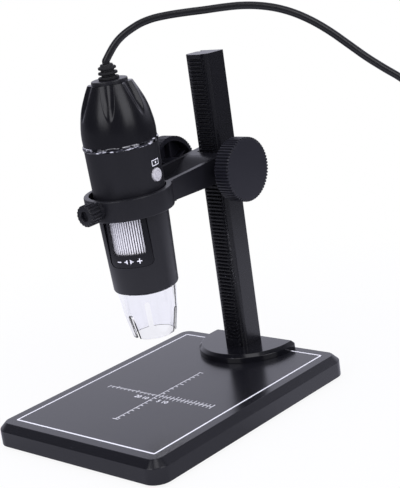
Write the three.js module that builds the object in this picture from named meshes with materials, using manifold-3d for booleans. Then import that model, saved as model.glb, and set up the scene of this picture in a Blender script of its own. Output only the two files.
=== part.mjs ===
// A USB digital microscope on a rack and pinion lift stand.
// Millimetres, +Z up. The origin is on the table, under the middle of the base.
// The column stands at +Y, the near lift knob is at +X and the clamp screw points to the front, -Y.
import * as THREE from 'three';
import { mergeVertices } from 'three/addons/utils/BufferGeometryUtils.js';
import Module from 'manifold-3d';

const wasm = await Module();
wasm.setup();

// Fits that all pieces share
const seatGap = 0.3;
const runGap = 0.3;
const cutOverrun = 2;
const weldDistance = 0.00001;

// Base plate, its cover, ballast and rubber feet
const baseWidth = 100;
const baseDepth = 130;
const baseHeight = 10;
const baseCornerRadius = 7.2;
const baseEdgeChamfer = 2.9;
const baseWall = 2.4;
const baseTopThickness = 3;
const coverThickness = 3;
const footRadius = 6;
const footHeight = 2.5;
const footProtrusion = 1.2;
const footEdgeChamfer = 0.6;
const footInset = 15;
const ballastThickness = 3;
const ballastSideMargin = 9;
const ballastFrontMargin = 18;
const ballastBackMargin = 20;
const coverScrewHeadRadius = 2.3;
const coverScrewHeadHeight = 0.8;
const coverScrewShankRadius = 1.1;
const coverScrewLength = 4;
const screwBossRadius = 4;

// Column with its rack, and the D-shaped plate that it stands on
const columnWidth = 13.5;
const columnThickness = 12.3;
const columnSetback = 6.9;
const columnHeight = 139.7;
const columnFrontRadius = 2.2;
const columnBackRadius = 1;
const columnNotchWidth = 2.4;
const columnNotchDepth = 1.6;
const rackWidth = 8;
const rackProud = 1.5;
const toothPitch = 1.75;
const toothFlankDegrees = 20;
const toothAddendum = 0.5;
const toothDedendum = 0.65;
const toothBacklash = 0.2;
const rackTeeth = 77;
const rackFirstGapHeight = 4.1;
const footPlateRadius = 24.7;
const footPlateMiddleSetback = 8.2;
const footPlateBackSetback = 3.2;
const footPlateCornerRadius = 2;
const footPlateThickness = 4;
const footPlateEdge = 1.7;
const columnScrewSpacing = 6.4;
const columnScrewShankRadius = 1.6;
const columnScrewHeadRadius = 2.8;
const columnScrewHeadHeight = 2;
const columnScrewGrip = 9;

// Carriage: sleeve, arm and ring
const pinionTeeth = 11;
const restingTooth = 48;
const sleeveWall = 1.5;
const sleeveBackWall = 2;
const sleeveCornerRadius = 3;
const sleeveFrontReach = 4.2;
const linerThickness = 0.8;
const linerWidth = 9;
const armReach = 50.5;
const armDroopDegrees = 2;
const armTopAtRing = 4;
const armTopAtSleeve = 5.3;
const armBottomAtRing = 5.4;
const armBottomAtSleeve = 6.5;
const armWall = 2;
const armFloorDrop = 4.1;
const armRampTopDrop = 0.4;
const armRampStart = 19;
const armRampEnd = 5;
const ringTop = 4.4;
const ringOuterRadius = 19.2;
const ringInnerRadius = 17;
const ringHeight = 9.3;
const ringEdge = 0.6;

// Pinion shaft and lift knobs
const gearWidth = 7;
const shaftRadius = 2;
const knobRadius = 14.5;
const knobThickness = 7.6;
const knobSpan = 52;
const knobRibs = 60;
const knobRibDepth = 0.45;
const knobFaceEdge = 0.6;
const knobHubRadius = 4.5;
const knobRimWall = 2.2;
const knobHollowDepth = 5;
const shaftEndDepth = 3.6;

// Clamp screw
const clampHeight = 0.5;
const clampBossRadius = 3.9;
const clampBossHeight = 1.3;
const clampStudRadius = 2;
const clampKnobRadius = 4.75;
const clampKnobLength = 6.2;
const clampKnobRibs = 18;
const clampKnobRibDepth = 0.45;
const clampKnobEdge = 0.7;
const clampKnobGap = 0.4;
const clampHollowRadius = 2.1;
const clampHollowDepth = 1.6;
const clampStudEngagement = 3.4;

// Microscope, along its own axis; heights are from the level of the pinion shaft
const scopeSetback = 1;
const scopeTurnDegrees = 8.5;
const barrelTopHeight = 24.05;
const barrelTopRadius = 16;
const barrelMiddleRadius = 15.7;
const barrelEndDepth = 39.4;
const barrelEndRadius = 14.4;
const barrelEndEdge = 0.7;
const barrelBoreRadius = 13.2;
const barrelNoseWall = 2.9;
const barrelLedgeWall = 1.9;
const barrelSpigotHeight = 5;
const barrelSpigotWall = 1.5;
const chromeRadius = 16.45;
const chromeHeight = 2;
const tailHeight = 24.85;
const tailRimRadius = 9.65;
const tailShoulderRadius = 16;
const tailWall = 2.4;
const tailHoleRadius = 4.5;
const fluteCount = 6;
const fluteWidth = 5.2;
const fluteDepth = 1.35;
const fluteLengthShare = 0.66;
const fluteTurnDegrees = -2.4;
const fluteSections = 7;
const fluteFirstStepShare = 0.2;
const discRadius = 7.8;
const discThickness = 1.55;
const reliefRingRadii = [4.45, 4.15, 3.85];
const reliefNeckRadius = 2.9;
const reliefRingHeight = 1.15;
const reliefRingPitch = 2.1;
const reliefFlangeThickness = 1.6;
const windowTurnDegrees = 16.5;
const windowWidth = 15.2;
const windowHeight = 17.1;
const windowTopDepth = 4;
const windowCornerRadius = 1;
const recessWidth = 20;
const recessHeight = 23.6;
const recessTopDepth = 3.2;
const recessCornerRadius = 2.6;
const recessDepth = 0.7;
const focusRingTopDepth = 3;
const focusRingBottomDepth = 21.6;
const focusRingWall = 1.9;
const focusRingRibs = 48;
const focusRingRibDepth = 0.3;
const focusRingPlainLength = 1.1;
const focusRingPlainStep = 0.7;
const focusRingScallop = 0.3;
const focusWebThickness = 1.8;
const retainerThickness = 1.5;
const retainerWidth = 2.2;
const spacerTopHeight = 5;
const spacerWall = 1;
const boardThickness = 1.4;
const sensorSize = 8;
const sensorThickness = 1.6;
const mainBoardHeight = 13.2;
const mainBoardOffset = 6.4;
const lensBarrelRadius = 7.1;
const lensBarrelWall = 1.6;
const lensBarrelBottomDepth = 31;
const lensBarrelTopDepth = 4;
const lensThickness = 2.4;
const lensInset = 0.8;
const ledBoardDepth = 35;
const ledBoardHoleRadius = 5.5;
const ledCount = 8;
const ledCircleRadius = 8.5;
const ledRadius = 1.4;
const ledLength = 2.3;
const buttonHeight = 10.95;
const buttonRadius = 3.1;
const buttonProud = 0.9;
const buttonTravel = 0.4;
const buttonFlangeRadius = 3.8;
const buttonFlangeThickness = 0.7;
const buttonFlangeSetback = 0.9;
const switchSize = 6;
const switchPlungerRadius = 1.6;
const switchPlungerLength = 1;

// Clear hood on the nose
const hoodTopRadius = 13.15;
const hoodMiddleRadius = 11.8;
const hoodMouthRadius = 9.75;
const hoodUpperLength = 11.7;
const hoodLength = 21.8;
const hoodWall = 1.1;
const hoodTenonLength = 2.6;
const hoodSlotCount = 3;
const hoodSlotWidth = 2.6;
const hoodSlotHeight = 11.5;
const hoodSlotTurnDegrees = 15;

// Cord, its coil, tie and plug
const cordDiameter = 3.2;
const cordSides = 8;
const cordSteps = 48;
const coilInnerRadius = 13.6;
const coilTurnPitch = 3.8;
const coilLayerPitch = 3.7;
const coilLayers = 4;
const coilTurnsPerLayer = 2.6;
const coilStepsPerTurn = 24;
const coilSides = 6;
const coilStartDegrees = 133.2;
const coilCentreX = 142.4;
const coilCentreY = 91.4;
const coilEndStraight = 3.4;
const tableClearance = 0.15;
const tieStrap = 0.5;
const tieWidth = 4;
const tieCornerRadius = 2;
const tieTurnDegrees = -60;
const plugBodyLength = 24;
const plugBodyWidth = 15.6;
const plugBodyThickness = 7.6;
const plugBodyEdge = 1.4;
const plugNeckLength = 9;
const plugNeckRadius = 3;
const plugShellLength = 12;
const plugShellWidth = 12;
const plugShellThickness = 4.5;
const plugShellWall = 0.3;
const plugShellCornerRadius = 0.4;
const plugTongueThickness = 1.6;
const plugPartGap = 0.1;

// Facets round a full turn
const roundSteps = 28;
const smallSteps = 16;
const tinySteps = 10;
const cornerSteps = 5;
const fewCornerSteps = 3;

const radians = THREE.MathUtils.degToRad;
const armDroop = radians(armDroopDegrees);

// Places worked out from the sizes above
const baseUnderside = footProtrusion;
const baseTop = baseUnderside + baseHeight;
const coverTop = baseUnderside + coverThickness;
const cavityTop = baseTop - baseTopThickness;
const footRecessDepth = footHeight - footProtrusion;
const footX = baseWidth / 2 - footInset;
const footY = baseDepth / 2 - footInset;
const cornerPlaces = [[footX, footY], [-footX, footY], [-footX, -footY], [footX, -footY]];
const footPlateTop = baseTop + footPlateThickness;
const ballastWidth = baseWidth - 2 * ballastSideMargin;
const ballastDepth = baseDepth - ballastFrontMargin - ballastBackMargin;
const footPlateMiddleY = baseDepth / 2 - footPlateMiddleSetback;
const footPlateBackY = baseDepth / 2 - footPlateBackSetback;
const columnFrontY = baseDepth / 2 - columnSetback - columnThickness;
const columnMiddleY = columnFrontY + columnThickness / 2;
const columnTop = footPlateTop + columnHeight;
const rackFrontY = columnFrontY - rackProud;
const pinionRadius = pinionTeeth * toothPitch / (2 * Math.PI);
const shaftY = rackFrontY + toothAddendum - pinionRadius;
const shaftZ = footPlateTop + rackFirstGapHeight + restingTooth * toothPitch;
const gearPocketRadius = pinionRadius + toothAddendum + runGap;
const sleeveWidth = columnWidth + 2 * (runGap + sleeveWall);
const knobInnerX = knobSpan / 2 - knobThickness;
const clampSeatY = -armReach - ringOuterRadius - clampBossHeight;
const scopeY = -armReach + scopeSetback;

// Turns a closed three.js geometry into a solid that can be joined and cut
function solidOf(geometry) {
  const bare = geometry.clone();
  bare.deleteAttribute('normal');
  bare.deleteAttribute('uv');
  const merged = mergeVertices(bare, weldDistance);
  const place = merged.attributes.position;
  const faces = [];
  let volume = 0;
  const corner = [new THREE.Vector3(), new THREE.Vector3(), new THREE.Vector3()];
  for (let i = 0; i < merged.index.count; i += 3) {
    const face = [0, 1, 2].map((k) => merged.index.getX(i + k));
    if (new Set(face).size === face.length) {
      faces.push(face);
      face.forEach((vertex, k) => corner[k].fromBufferAttribute(place, vertex));
      volume += corner[0].dot(corner[1].cross(corner[2]));
    }
  }
  const outward = volume < 0 ? faces.map((face) => face.reverse()) : faces;
  return new wasm.Manifold(new wasm.Mesh({
    numProp: 3,
    vertProperties: new Float32Array(place.array),
    triVerts: new Uint32Array(outward.flat()),
  }));
}

// Gives a solid back as a three.js geometry
function geometryOf(solid) {
  const mesh = solid.getMesh();
  const geometry = new THREE.BufferGeometry();
  geometry.setAttribute('position', new THREE.BufferAttribute(mesh.vertProperties, 3));
  geometry.setIndex(new THREE.BufferAttribute(mesh.triVerts, 1));
  geometry.computeVertexNormals();
  return geometry;
}

// Joins pieces onto a first piece, then cuts others out of it
function shaped(first, joined = [], cut = []) {
  let body = solidOf(first);
  for (const piece of joined) {
    body = body.add(solidOf(piece));
  }
  for (const piece of cut) {
    body = body.subtract(solidOf(piece));
  }
  return geometryOf(body);
}

// Keeps only what two pieces share
function shared(first, second) {
  return geometryOf(solidOf(first).intersect(solidOf(second)));
}

// A stack of outlines with equally many points, closed at both ends
function loft(rings) {
  const count = rings[0].length;
  const middle = (ring) => ring.reduce((sum, p) => sum.add(p), new THREE.Vector3()).divideScalar(count);
  const points = [...rings.flat(), middle(rings[0]), middle(rings[rings.length - 1])];
  const lowMiddle = points.length - 2;
  const highMiddle = points.length - 1;
  const lastRing = (rings.length - 1) * count;
  const faces = [];
  for (let i = 0; i < count; i += 1) {
    const next = (i + 1) % count;
    faces.push(lowMiddle, next, i);
    faces.push(highMiddle, lastRing + i, lastRing + next);
    for (let low = 0; low < lastRing; low += count) {
      faces.push(low + i, low + next, low + count + next);
      faces.push(low + i, low + count + next, low + count + i);
    }
  }
  const geometry = new THREE.BufferGeometry().setFromPoints(points);
  geometry.setIndex(faces);
  geometry.computeVertexNormals();
  return geometry;
}

// An outline lifted to a height
function level(outline, height) {
  return outline.map((p) => new THREE.Vector3(p.x, p.y, height));
}

// A rectangle with round corners, centred on its middle
function roundedRectangle(width, depth, radius, steps = cornerSteps) {
  const corners = [[1, 1], [-1, 1], [-1, -1], [1, -1]];
  return corners.flatMap(([sideX, sideY], quarter) => {
    const centreX = sideX * (width / 2 - radius);
    const centreY = sideY * (depth / 2 - radius);
    return Array.from({ length: steps + 1 }, (_, i) => {
      const angle = (quarter + i / steps) * Math.PI / 2;
      return new THREE.Vector2(centreX + radius * Math.cos(angle), centreY + radius * Math.sin(angle));
    });
  });
}

// A ribbed rim: two points for each rib, one high and one low
function ribbedOutline(radius, ribs, depth) {
  return Array.from({ length: 2 * ribs }, (_, i) => {
    const angle = i * Math.PI / ribs;
    const reach = radius - (i % 2) * depth;
    return new THREE.Vector2(reach * Math.cos(angle), reach * Math.sin(angle));
  });
}

// A flat outline given a height along +Z
function prism(outline, low, high) {
  const shape = new THREE.Shape(outline);
  const geometry = new THREE.ExtrudeGeometry(shape, { depth: high - low, bevelEnabled: false });
  geometry.translate(0, 0, low);
  return geometry;
}

// A side view in Y and Z, given a width along X and centred there
function sidePrism(shape, width) {
  const geometry = new THREE.ExtrudeGeometry(shape, {
    depth: width,
    bevelEnabled: false,
    curveSegments: tinySteps,
  });
  geometry.translate(0, 0, -width / 2);
  const alongY = new THREE.Vector3(0, 1, 0);
  const alongZ = new THREE.Vector3(0, 0, 1);
  const alongX = new THREE.Vector3(1, 0, 0);
  geometry.applyMatrix4(new THREE.Matrix4().makeBasis(alongY, alongZ, alongX));
  return geometry;
}

function box(lowX, highX, lowY, highY, lowZ, highZ) {
  const geometry = new THREE.BoxGeometry(highX - lowX, highY - lowY, highZ - lowZ);
  geometry.translate((lowX + highX) / 2, (lowY + highY) / 2, (lowZ + highZ) / 2);
  return geometry;
}

// A profile of [radius, height] points turned round the Z axis
function turned(profile, steps = roundSteps) {
  const points = profile.map(([radius, height]) => new THREE.Vector2(radius, height));
  const geometry = new THREE.LatheGeometry(points, steps);
  geometry.rotateX(Math.PI / 2);
  return geometry;
}

function rod(radius, low, high, steps = smallSteps) {
  return turned([[0, low], [radius, low], [radius, high], [0, high]], steps);
}

function tube(innerRadius, outerRadius, low, high, steps = roundSteps) {
  const profile = [[innerRadius, low], [outerRadius, low], [outerRadius, high], [innerRadius, high]];
  return turned([...profile, profile[0]], steps);
}

// Lays a piece made along +Z down along +X or along -Y
function alongX(geometry) {
  return geometry.rotateY(Math.PI / 2);
}

function alongFront(geometry) {
  return geometry.rotateX(Math.PI / 2);
}

const blackPlastic = { color: 0x1b1b20, roughness: 0.42, metalness: 0 };
const finishes = {
  base: { color: 0x2c2c33, roughness: 0.38, metalness: 0 },
  black: blackPlastic,
  column: { color: 0x23232a, roughness: 0.35, metalness: 0 },
  knob: { color: 0x303038, roughness: 0.5, metalness: 0 },
  rubber: { color: 0x151517, roughness: 0.75, metalness: 0 },
  chrome: { color: 0xdcdce2, roughness: 0.08, metalness: 1 },
  steel: { color: 0x8f9298, roughness: 0.3, metalness: 1 },
  silver: { color: 0xc9c9d2, roughness: 0.35, metalness: 0.2 },
  clear: { color: 0xe9e9f4, roughness: 0.05, metalness: 0, transparent: true, opacity: 0.35 },
  glass: { color: 0xdfe6ef, roughness: 0.02, metalness: 0, transparent: true, opacity: 0.4 },
  board: { color: 0x1c5a35, roughness: 0.5, metalness: 0 },
  chip: { color: 0x101114, roughness: 0.3, metalness: 0 },
  led: { color: 0xf5f3e4, roughness: 0.2, metalness: 0 },
  nylon: { color: 0xe4e2da, roughness: 0.6, metalness: 0 },
  cord: { color: 0x17171a, roughness: 0.5, metalness: 0 },
};

function piece(name, geometry, finish) {
  const material = new THREE.MeshStandardMaterial(finishes[finish]);
  const mesh = new THREE.Mesh(geometryOf(solidOf(geometry)), material);
  mesh.name = name;
  return mesh;
}

// The base: a shallow moulded shell, open underneath, with posts for the cover's screws
function baseShell() {
  const outline = (inset) => roundedRectangle(
    baseWidth - 2 * inset,
    baseDepth - 2 * inset,
    baseCornerRadius - inset,
  );
  const outer = loft([
    level(outline(0), baseUnderside),
    level(outline(0), baseTop - baseEdgeChamfer),
    level(outline(baseEdgeChamfer), baseTop),
  ]);
  const cavity = prism(outline(baseWall), baseUnderside - cutOverrun, cavityTop);
  const hollow = shaped(outer, [], [cavity]);
  const posts = cornerPlaces.map(([x, y]) => rod(screwBossRadius, coverTop, baseTop - baseTopThickness / 2)
    .translate(x, y, 0));
  const pilots = cornerPlaces.map(([x, y]) => rod(
    coverScrewShankRadius + seatGap,
    coverTop - cutOverrun,
    coverTop + coverScrewLength - seatGap,
    tinySteps,
  ).translate(x, y, 0));
  const columnHoles = columnScrewPlaces().map((x) => rod(
    columnScrewShankRadius + seatGap,
    cavityTop - cutOverrun,
    baseTop + cutOverrun,
    tinySteps,
  ).translate(x, columnMiddleY, 0));
  return shaped(hollow, posts, [...pilots, ...columnHoles]);
}

function columnScrewPlaces() {
  return [-columnScrewSpacing / 2, columnScrewSpacing / 2];
}

// The plate that closes the base, with a round recess for each foot and a hole for its screw
function bottomCover() {
  const inset = baseWall + seatGap;
  const outline = roundedRectangle(baseWidth - 2 * inset, baseDepth - 2 * inset, baseCornerRadius - inset);
  const low = baseUnderside - cutOverrun;
  const recessTop = baseUnderside + footRecessDepth;
  const cuts = cornerPlaces.flatMap(([x, y]) => [
    rod(footRadius + seatGap, low, recessTop),
    rod(coverScrewHeadRadius + seatGap, low, recessTop + coverScrewHeadHeight, tinySteps),
    rod(coverScrewShankRadius + seatGap, low, coverTop + cutOverrun, tinySteps),
  ].map((cutter) => cutter.translate(x, y, 0)));
  return shaped(prism(outline, baseUnderside, coverTop), [], cuts);
}

function ballastPlate() {
  const outline = roundedRectangle(ballastWidth, ballastDepth, baseCornerRadius, fewCornerSteps);
  const plate = prism(outline, coverTop, coverTop + ballastThickness);
  plate.translate(0, ballastFrontMargin + ballastDepth / 2 - baseDepth / 2, 0);
  const clearances = cornerPlaces.map(([x, y]) => rod(
    screwBossRadius + seatGap,
    coverTop - cutOverrun,
    coverTop + ballastThickness + cutOverrun,
  ).translate(x, y, 0));
  return shaped(plate, [], clearances);
}

function rubberFoot() {
  return turned([
    [0, 0],
    [footRadius - footEdgeChamfer, 0],
    [footRadius, footEdgeChamfer],
    [footRadius, footHeight],
    [0, footHeight],
  ], smallSteps);
}

function coverScrew() {
  const headTop = baseUnderside + footRecessDepth + coverScrewHeadHeight;
  const headLow = baseUnderside + footRecessDepth + coverScrewHeadHeight / 4;
  return turned([
    [0, headLow],
    [coverScrewHeadRadius, headLow],
    [coverScrewHeadRadius, headTop],
    [coverScrewShankRadius, headTop],
    [coverScrewShankRadius, coverTop + coverScrewLength - 2 * seatGap],
    [0, coverTop + coverScrewLength - 2 * seatGap],
  ], tinySteps);
}

// The plate under the column: round in front, straight at the back, with a soft upper edge
function columnFootPlate() {
  const outline = (inset) => {
    const radius = footPlateRadius - inset;
    const corner = footPlateCornerRadius - inset;
    const cornerX = footPlateRadius - footPlateCornerRadius;
    const cornerY = footPlateBackY - footPlateCornerRadius;
    const arc = (x, y, reach, from, to, steps) => Array.from({ length: steps + 1 }, (_, i) => {
      const angle = (from + (to - from) * i / steps) * Math.PI;
      return new THREE.Vector2(x + reach * Math.cos(angle), y + reach * Math.sin(angle));
    });
    return [
      ...arc(0, footPlateMiddleY, radius, 1, 2, roundSteps / 2),
      ...arc(cornerX, cornerY, corner, 0, 1 / 2, fewCornerSteps),
      ...arc(-cornerX, cornerY, corner, 1 / 2, 1, fewCornerSteps),
    ];
  };
  const roundLow = footPlateTop - footPlateEdge;
  const halfWayIn = footPlateEdge * (1 - Math.cos(Math.PI / 4));
  const halfWayUp = footPlateEdge * Math.sin(Math.PI / 4);
  const plate = loft([
    level(outline(0), baseTop),
    level(outline(0), roundLow),
    level(outline(halfWayIn), roundLow + halfWayUp),
    level(outline(footPlateEdge), footPlateTop),
  ]);
  const holes = columnScrewPlaces().map((x) => rod(
    columnScrewShankRadius + seatGap,
    baseTop - cutOverrun,
    footPlateTop + cutOverrun,
    tinySteps,
  ).translate(x, columnMiddleY, 0));
  return shaped(plate, [], holes);
}

// The side view of the rack: a straight strip with its gaps cut into the front
function rackSideView() {
  const flank = Math.tan(radians(toothFlankDegrees));
  const gapHalf = toothPitch / 4 + toothBacklash / 2;
  const gapMouth = gapHalf + toothAddendum * flank;
  const gapFloor = gapHalf - toothDedendum * flank;
  const gapBackY = rackFrontY + toothAddendum + toothDedendum;
  const points = [[columnFrontY + rackProud, footPlateTop], [rackFrontY, footPlateTop]];
  for (let tooth = 0; tooth < rackTeeth; tooth += 1) {
    const middle = footPlateTop + rackFirstGapHeight + tooth * toothPitch;
    points.push([rackFrontY, middle - gapMouth], [gapBackY, middle - gapFloor]);
    points.push([gapBackY, middle + gapFloor], [rackFrontY, middle + gapMouth]);
  }
  points.push([rackFrontY, columnTop], [columnFrontY + rackProud, columnTop]);
  return new THREE.Shape(points.map(([y, z]) => new THREE.Vector2(y, z)));
}

function rackColumn() {
  const half = columnWidth / 2;
  const backY = columnFrontY + columnThickness;
  const section = new THREE.Shape();
  const frontCornerX = half - columnFrontRadius;
  const frontCornerY = columnFrontY + columnFrontRadius;
  section.absarc(-frontCornerX, frontCornerY, columnFrontRadius, Math.PI, 3 * Math.PI / 2);
  section.absarc(frontCornerX, frontCornerY, columnFrontRadius, 3 * Math.PI / 2, 2 * Math.PI);
  section.absarc(half - columnBackRadius, backY - columnBackRadius, columnBackRadius, 0, Math.PI / 2);
  section.absarc(-half + columnBackRadius, backY - columnBackRadius, columnBackRadius, Math.PI / 2, Math.PI);
  const post = prism(section.getPoints(fewCornerSteps), footPlateTop, columnTop);
  const notch = box(
    -half - cutOverrun,
    columnNotchDepth - half,
    backY - columnBackRadius - columnNotchWidth,
    backY - columnBackRadius,
    columnTop - columnNotchDepth,
    columnTop + cutOverrun,
  );
  const pilots = columnScrewPlaces().map((x) => rod(
    columnScrewShankRadius + seatGap,
    footPlateTop - cutOverrun,
    footPlateTop + columnScrewGrip + seatGap,
    tinySteps,
  ).translate(x, columnMiddleY, 0));
  return shaped(post, [sidePrism(rackSideView(), rackWidth)], [notch, ...pilots]);
}

function columnScrew() {
  const headLow = cavityTop - columnScrewHeadHeight;
  return turned([
    [0, headLow],
    [columnScrewHeadRadius, headLow],
    [columnScrewHeadRadius, cavityTop],
    [columnScrewShankRadius, cavityTop],
    [columnScrewShankRadius, footPlateTop + columnScrewGrip],
    [0, footPlateTop + columnScrewGrip],
  ], tinySteps);
}

// The sleeve that wraps the column, round the pinion shaft's middle as origin
function sleeve() {
  const innerBackY = columnFrontY + columnThickness + 2 * runGap + linerThickness - shaftY;
  const backY = innerBackY + sleeveBackWall;
  const half = sleeveWidth / 2;
  const section = new THREE.Shape();
  section.moveTo(-half, -sleeveFrontReach);
  section.lineTo(half, -sleeveFrontReach);
  const cornerX = half - sleeveCornerRadius;
  const cornerY = backY - sleeveCornerRadius;
  section.absarc(cornerX, cornerY, sleeveCornerRadius, 0, Math.PI / 2);
  section.absarc(-cornerX, cornerY, sleeveCornerRadius, Math.PI / 2, Math.PI);
  return prism(section.getPoints(cornerSteps), -armBottomAtSleeve, armTopAtSleeve);
}

function sleeveBore() {
  const innerHalf = columnWidth / 2 + runGap;
  const innerBackY = columnFrontY + columnThickness + 2 * runGap + linerThickness - shaftY;
  const railY = columnFrontY - runGap - shaftY;
  const low = -armBottomAtSleeve - cutOverrun;
  const high = armTopAtSleeve + cutOverrun;
  const rackHalf = rackWidth / 2 + runGap;
  const rackY = rackFrontY - runGap - shaftY;
  return [
    box(-innerHalf, innerHalf, railY, innerBackY, low, high),
    box(-rackHalf, rackHalf, rackY, railY + cutOverrun, low, high),
  ];
}

// The arm's side view, with the floor of its channel rising in a soft curve to the column
function armBody() {
  const ringSide = -armReach + ringInnerRadius + seatGap;
  const outer = new THREE.Shape([
    new THREE.Vector2(ringSide, -armBottomAtRing),
    new THREE.Vector2(0, -armBottomAtSleeve),
    new THREE.Vector2(0, armTopAtSleeve),
    new THREE.Vector2(ringSide, armTopAtRing),
  ]);
  const floor = armTopAtRing - armFloorDrop;
  const rampTop = armTopAtSleeve - armRampTopDrop;
  const middle = -(armRampStart + armRampEnd) / 2;
  const clear = armTopAtSleeve + cutOverrun;
  const channel = new THREE.Shape();
  channel.moveTo(ringSide, clear);
  channel.lineTo(ringSide, floor);
  channel.lineTo(-armRampStart, floor);
  channel.bezierCurveTo(middle, floor, middle, rampTop, -armRampEnd, rampTop);
  channel.lineTo(0, rampTop);
  channel.lineTo(0, clear);
  return shaped(sidePrism(outer, sleeveWidth), [], [sidePrism(channel, sleeveWidth - 2 * armWall)]);
}

function ringBody() {
  const top = ringTop;
  const low = ringTop - ringHeight;
  const profile = [
    [ringInnerRadius, low],
    [ringOuterRadius - ringEdge, low],
    [ringOuterRadius, low + ringEdge],
    [ringOuterRadius, top - ringEdge / 2],
    [ringOuterRadius - ringEdge / 2, top],
    [ringInnerRadius + ringEdge, top],
    [ringInnerRadius, top - ringEdge],
  ];
  return turned([...profile, profile[0]]).translate(0, -armReach, 0);
}

function carriageArm() {
  const boss = alongFront(rod(clampBossRadius, ringInnerRadius + ringEdge, -clampSeatY - armReach))
    .translate(0, -armReach, clampHeight);
  const studHole = alongFront(rod(clampStudRadius + runGap, 0, -clampSeatY - armReach + cutOverrun))
    .translate(0, -armReach, clampHeight);
  const ringBore = rod(ringInnerRadius, -ringHeight, ringHeight, roundSteps).translate(0, -armReach, 0);
  const armAndRing = shaped(armBody(), [ringBody(), boss], [studHole, ringBore]);
  armAndRing.rotateX(armDroop);
  const gearPocket = alongX(rod(gearPocketRadius, -gearWidth / 2 - runGap, gearWidth / 2 + runGap));
  const shaftHole = alongX(rod(shaftRadius + runGap, -sleeveWidth, sleeveWidth));
  return shaped(sleeve(), [armAndRing], [...sleeveBore(), gearPocket, shaftHole]);
}

function sleeveLiner() {
  const lowY = columnFrontY + columnThickness + runGap - shaftY;
  const half = linerWidth / 2;
  return box(-half, half, lowY, lowY + linerThickness, -armBottomAtSleeve, armTopAtSleeve);
}

// The shaft and its pinion are one turned and milled piece
function pinionShaft() {
  const flankTurn = toothPitch / 4 - toothBacklash / 2;
  const rootRadius = pinionRadius - toothDedendum;
  const tipRadius = pinionRadius + toothAddendum;
  const flank = Math.tan(radians(toothFlankDegrees));
  const rootHalf = (flankTurn + toothDedendum * flank) / rootRadius;
  const tipHalf = (flankTurn - toothAddendum * flank) / tipRadius;
  const outline = Array.from({ length: pinionTeeth }, (_, tooth) => {
    const middle = Math.PI / 2 + tooth * 2 * Math.PI / pinionTeeth;
    return [[rootRadius, -rootHalf], [tipRadius, -tipHalf], [tipRadius, tipHalf], [rootRadius, rootHalf]]
      .map(([radius, turn]) => new THREE.Vector2(
        radius * Math.cos(middle + turn),
        radius * Math.sin(middle + turn),
      ));
  }).flat();
  const gear = alongX(prism(outline, -gearWidth / 2, gearWidth / 2));
  const end = knobInnerX + shaftEndDepth;
  return shaped(alongX(rod(shaftRadius, -end, end)), [gear]);
}

// A lift knob: ribbed rim, smooth face, and a hollow back round its hub
function liftKnob() {
  const hubLow = sleeveWidth / 2 + seatGap - knobInnerX;
  const rim = ribbedOutline(knobRadius, knobRibs, knobRibDepth);
  const face = ribbedOutline(knobRadius - knobFaceEdge, knobRibs, 0);
  const disc = loft([
    level(rim, 0),
    level(rim, knobThickness - knobFaceEdge),
    level(face, knobThickness),
  ]);
  const hollow = tube(knobHubRadius, knobRadius - knobRimWall, -cutOverrun, knobHollowDepth);
  const hub = rod(knobHubRadius, hubLow, knobHollowDepth + seatGap);
  const bore = rod(shaftRadius + seatGap, hubLow - cutOverrun, shaftEndDepth + seatGap);
  return shaped(shaped(disc, [], [hollow]), [hub], [bore]);
}

function clampStud() {
  const tip = scopeY + armReach - barrelMiddleRadius - seatGap;
  const length = clampSeatY + armReach - clampKnobGap - clampStudEngagement;
  return alongFront(rod(clampStudRadius, -tip, -length)).translate(0, -armReach, clampHeight);
}

function clampKnob() {
  const low = clampKnobGap;
  const high = clampKnobGap + clampKnobLength;
  const rim = ribbedOutline(clampKnobRadius, clampKnobRibs, clampKnobRibDepth);
  const face = ribbedOutline(clampKnobRadius - clampKnobEdge, clampKnobRibs, 0);
  const grip = loft([
    level(face, low),
    level(rim, low + clampKnobEdge),
    level(rim, high - clampKnobEdge),
    level(face, high),
  ]);
  const hollow = rod(clampHollowRadius, high - clampHollowDepth, high + cutOverrun);
  const bore = rod(clampStudRadius + seatGap, low - cutOverrun, low + clampStudEngagement + seatGap);
  return alongFront(shaped(grip, [], [hollow, bore])).translate(0, clampSeatY, clampHeight);
}

// The barrel's radius at a height, on the outside
function barrelRadiusAt(height) {
  const upper = (height - ringTop) / (barrelTopHeight - ringTop);
  const lower = (ringTop - height) / (ringTop + barrelEndDepth);
  return height > ringTop
    ? barrelMiddleRadius + upper * (barrelTopRadius - barrelMiddleRadius)
    : barrelMiddleRadius - lower * (barrelMiddleRadius - barrelEndRadius);
}

// A block with round corners that faces the front, for cuts into the barrel's side
function frontBlock(width, height, radius, topHeight, nearY) {
  const outline = roundedRectangle(width, height, radius, 2);
  const block = prism(outline, nearY, barrelTopRadius + cutOverrun);
  return alongFront(block).translate(0, 0, topHeight - height / 2).rotateZ(radians(windowTurnDegrees));
}

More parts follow.
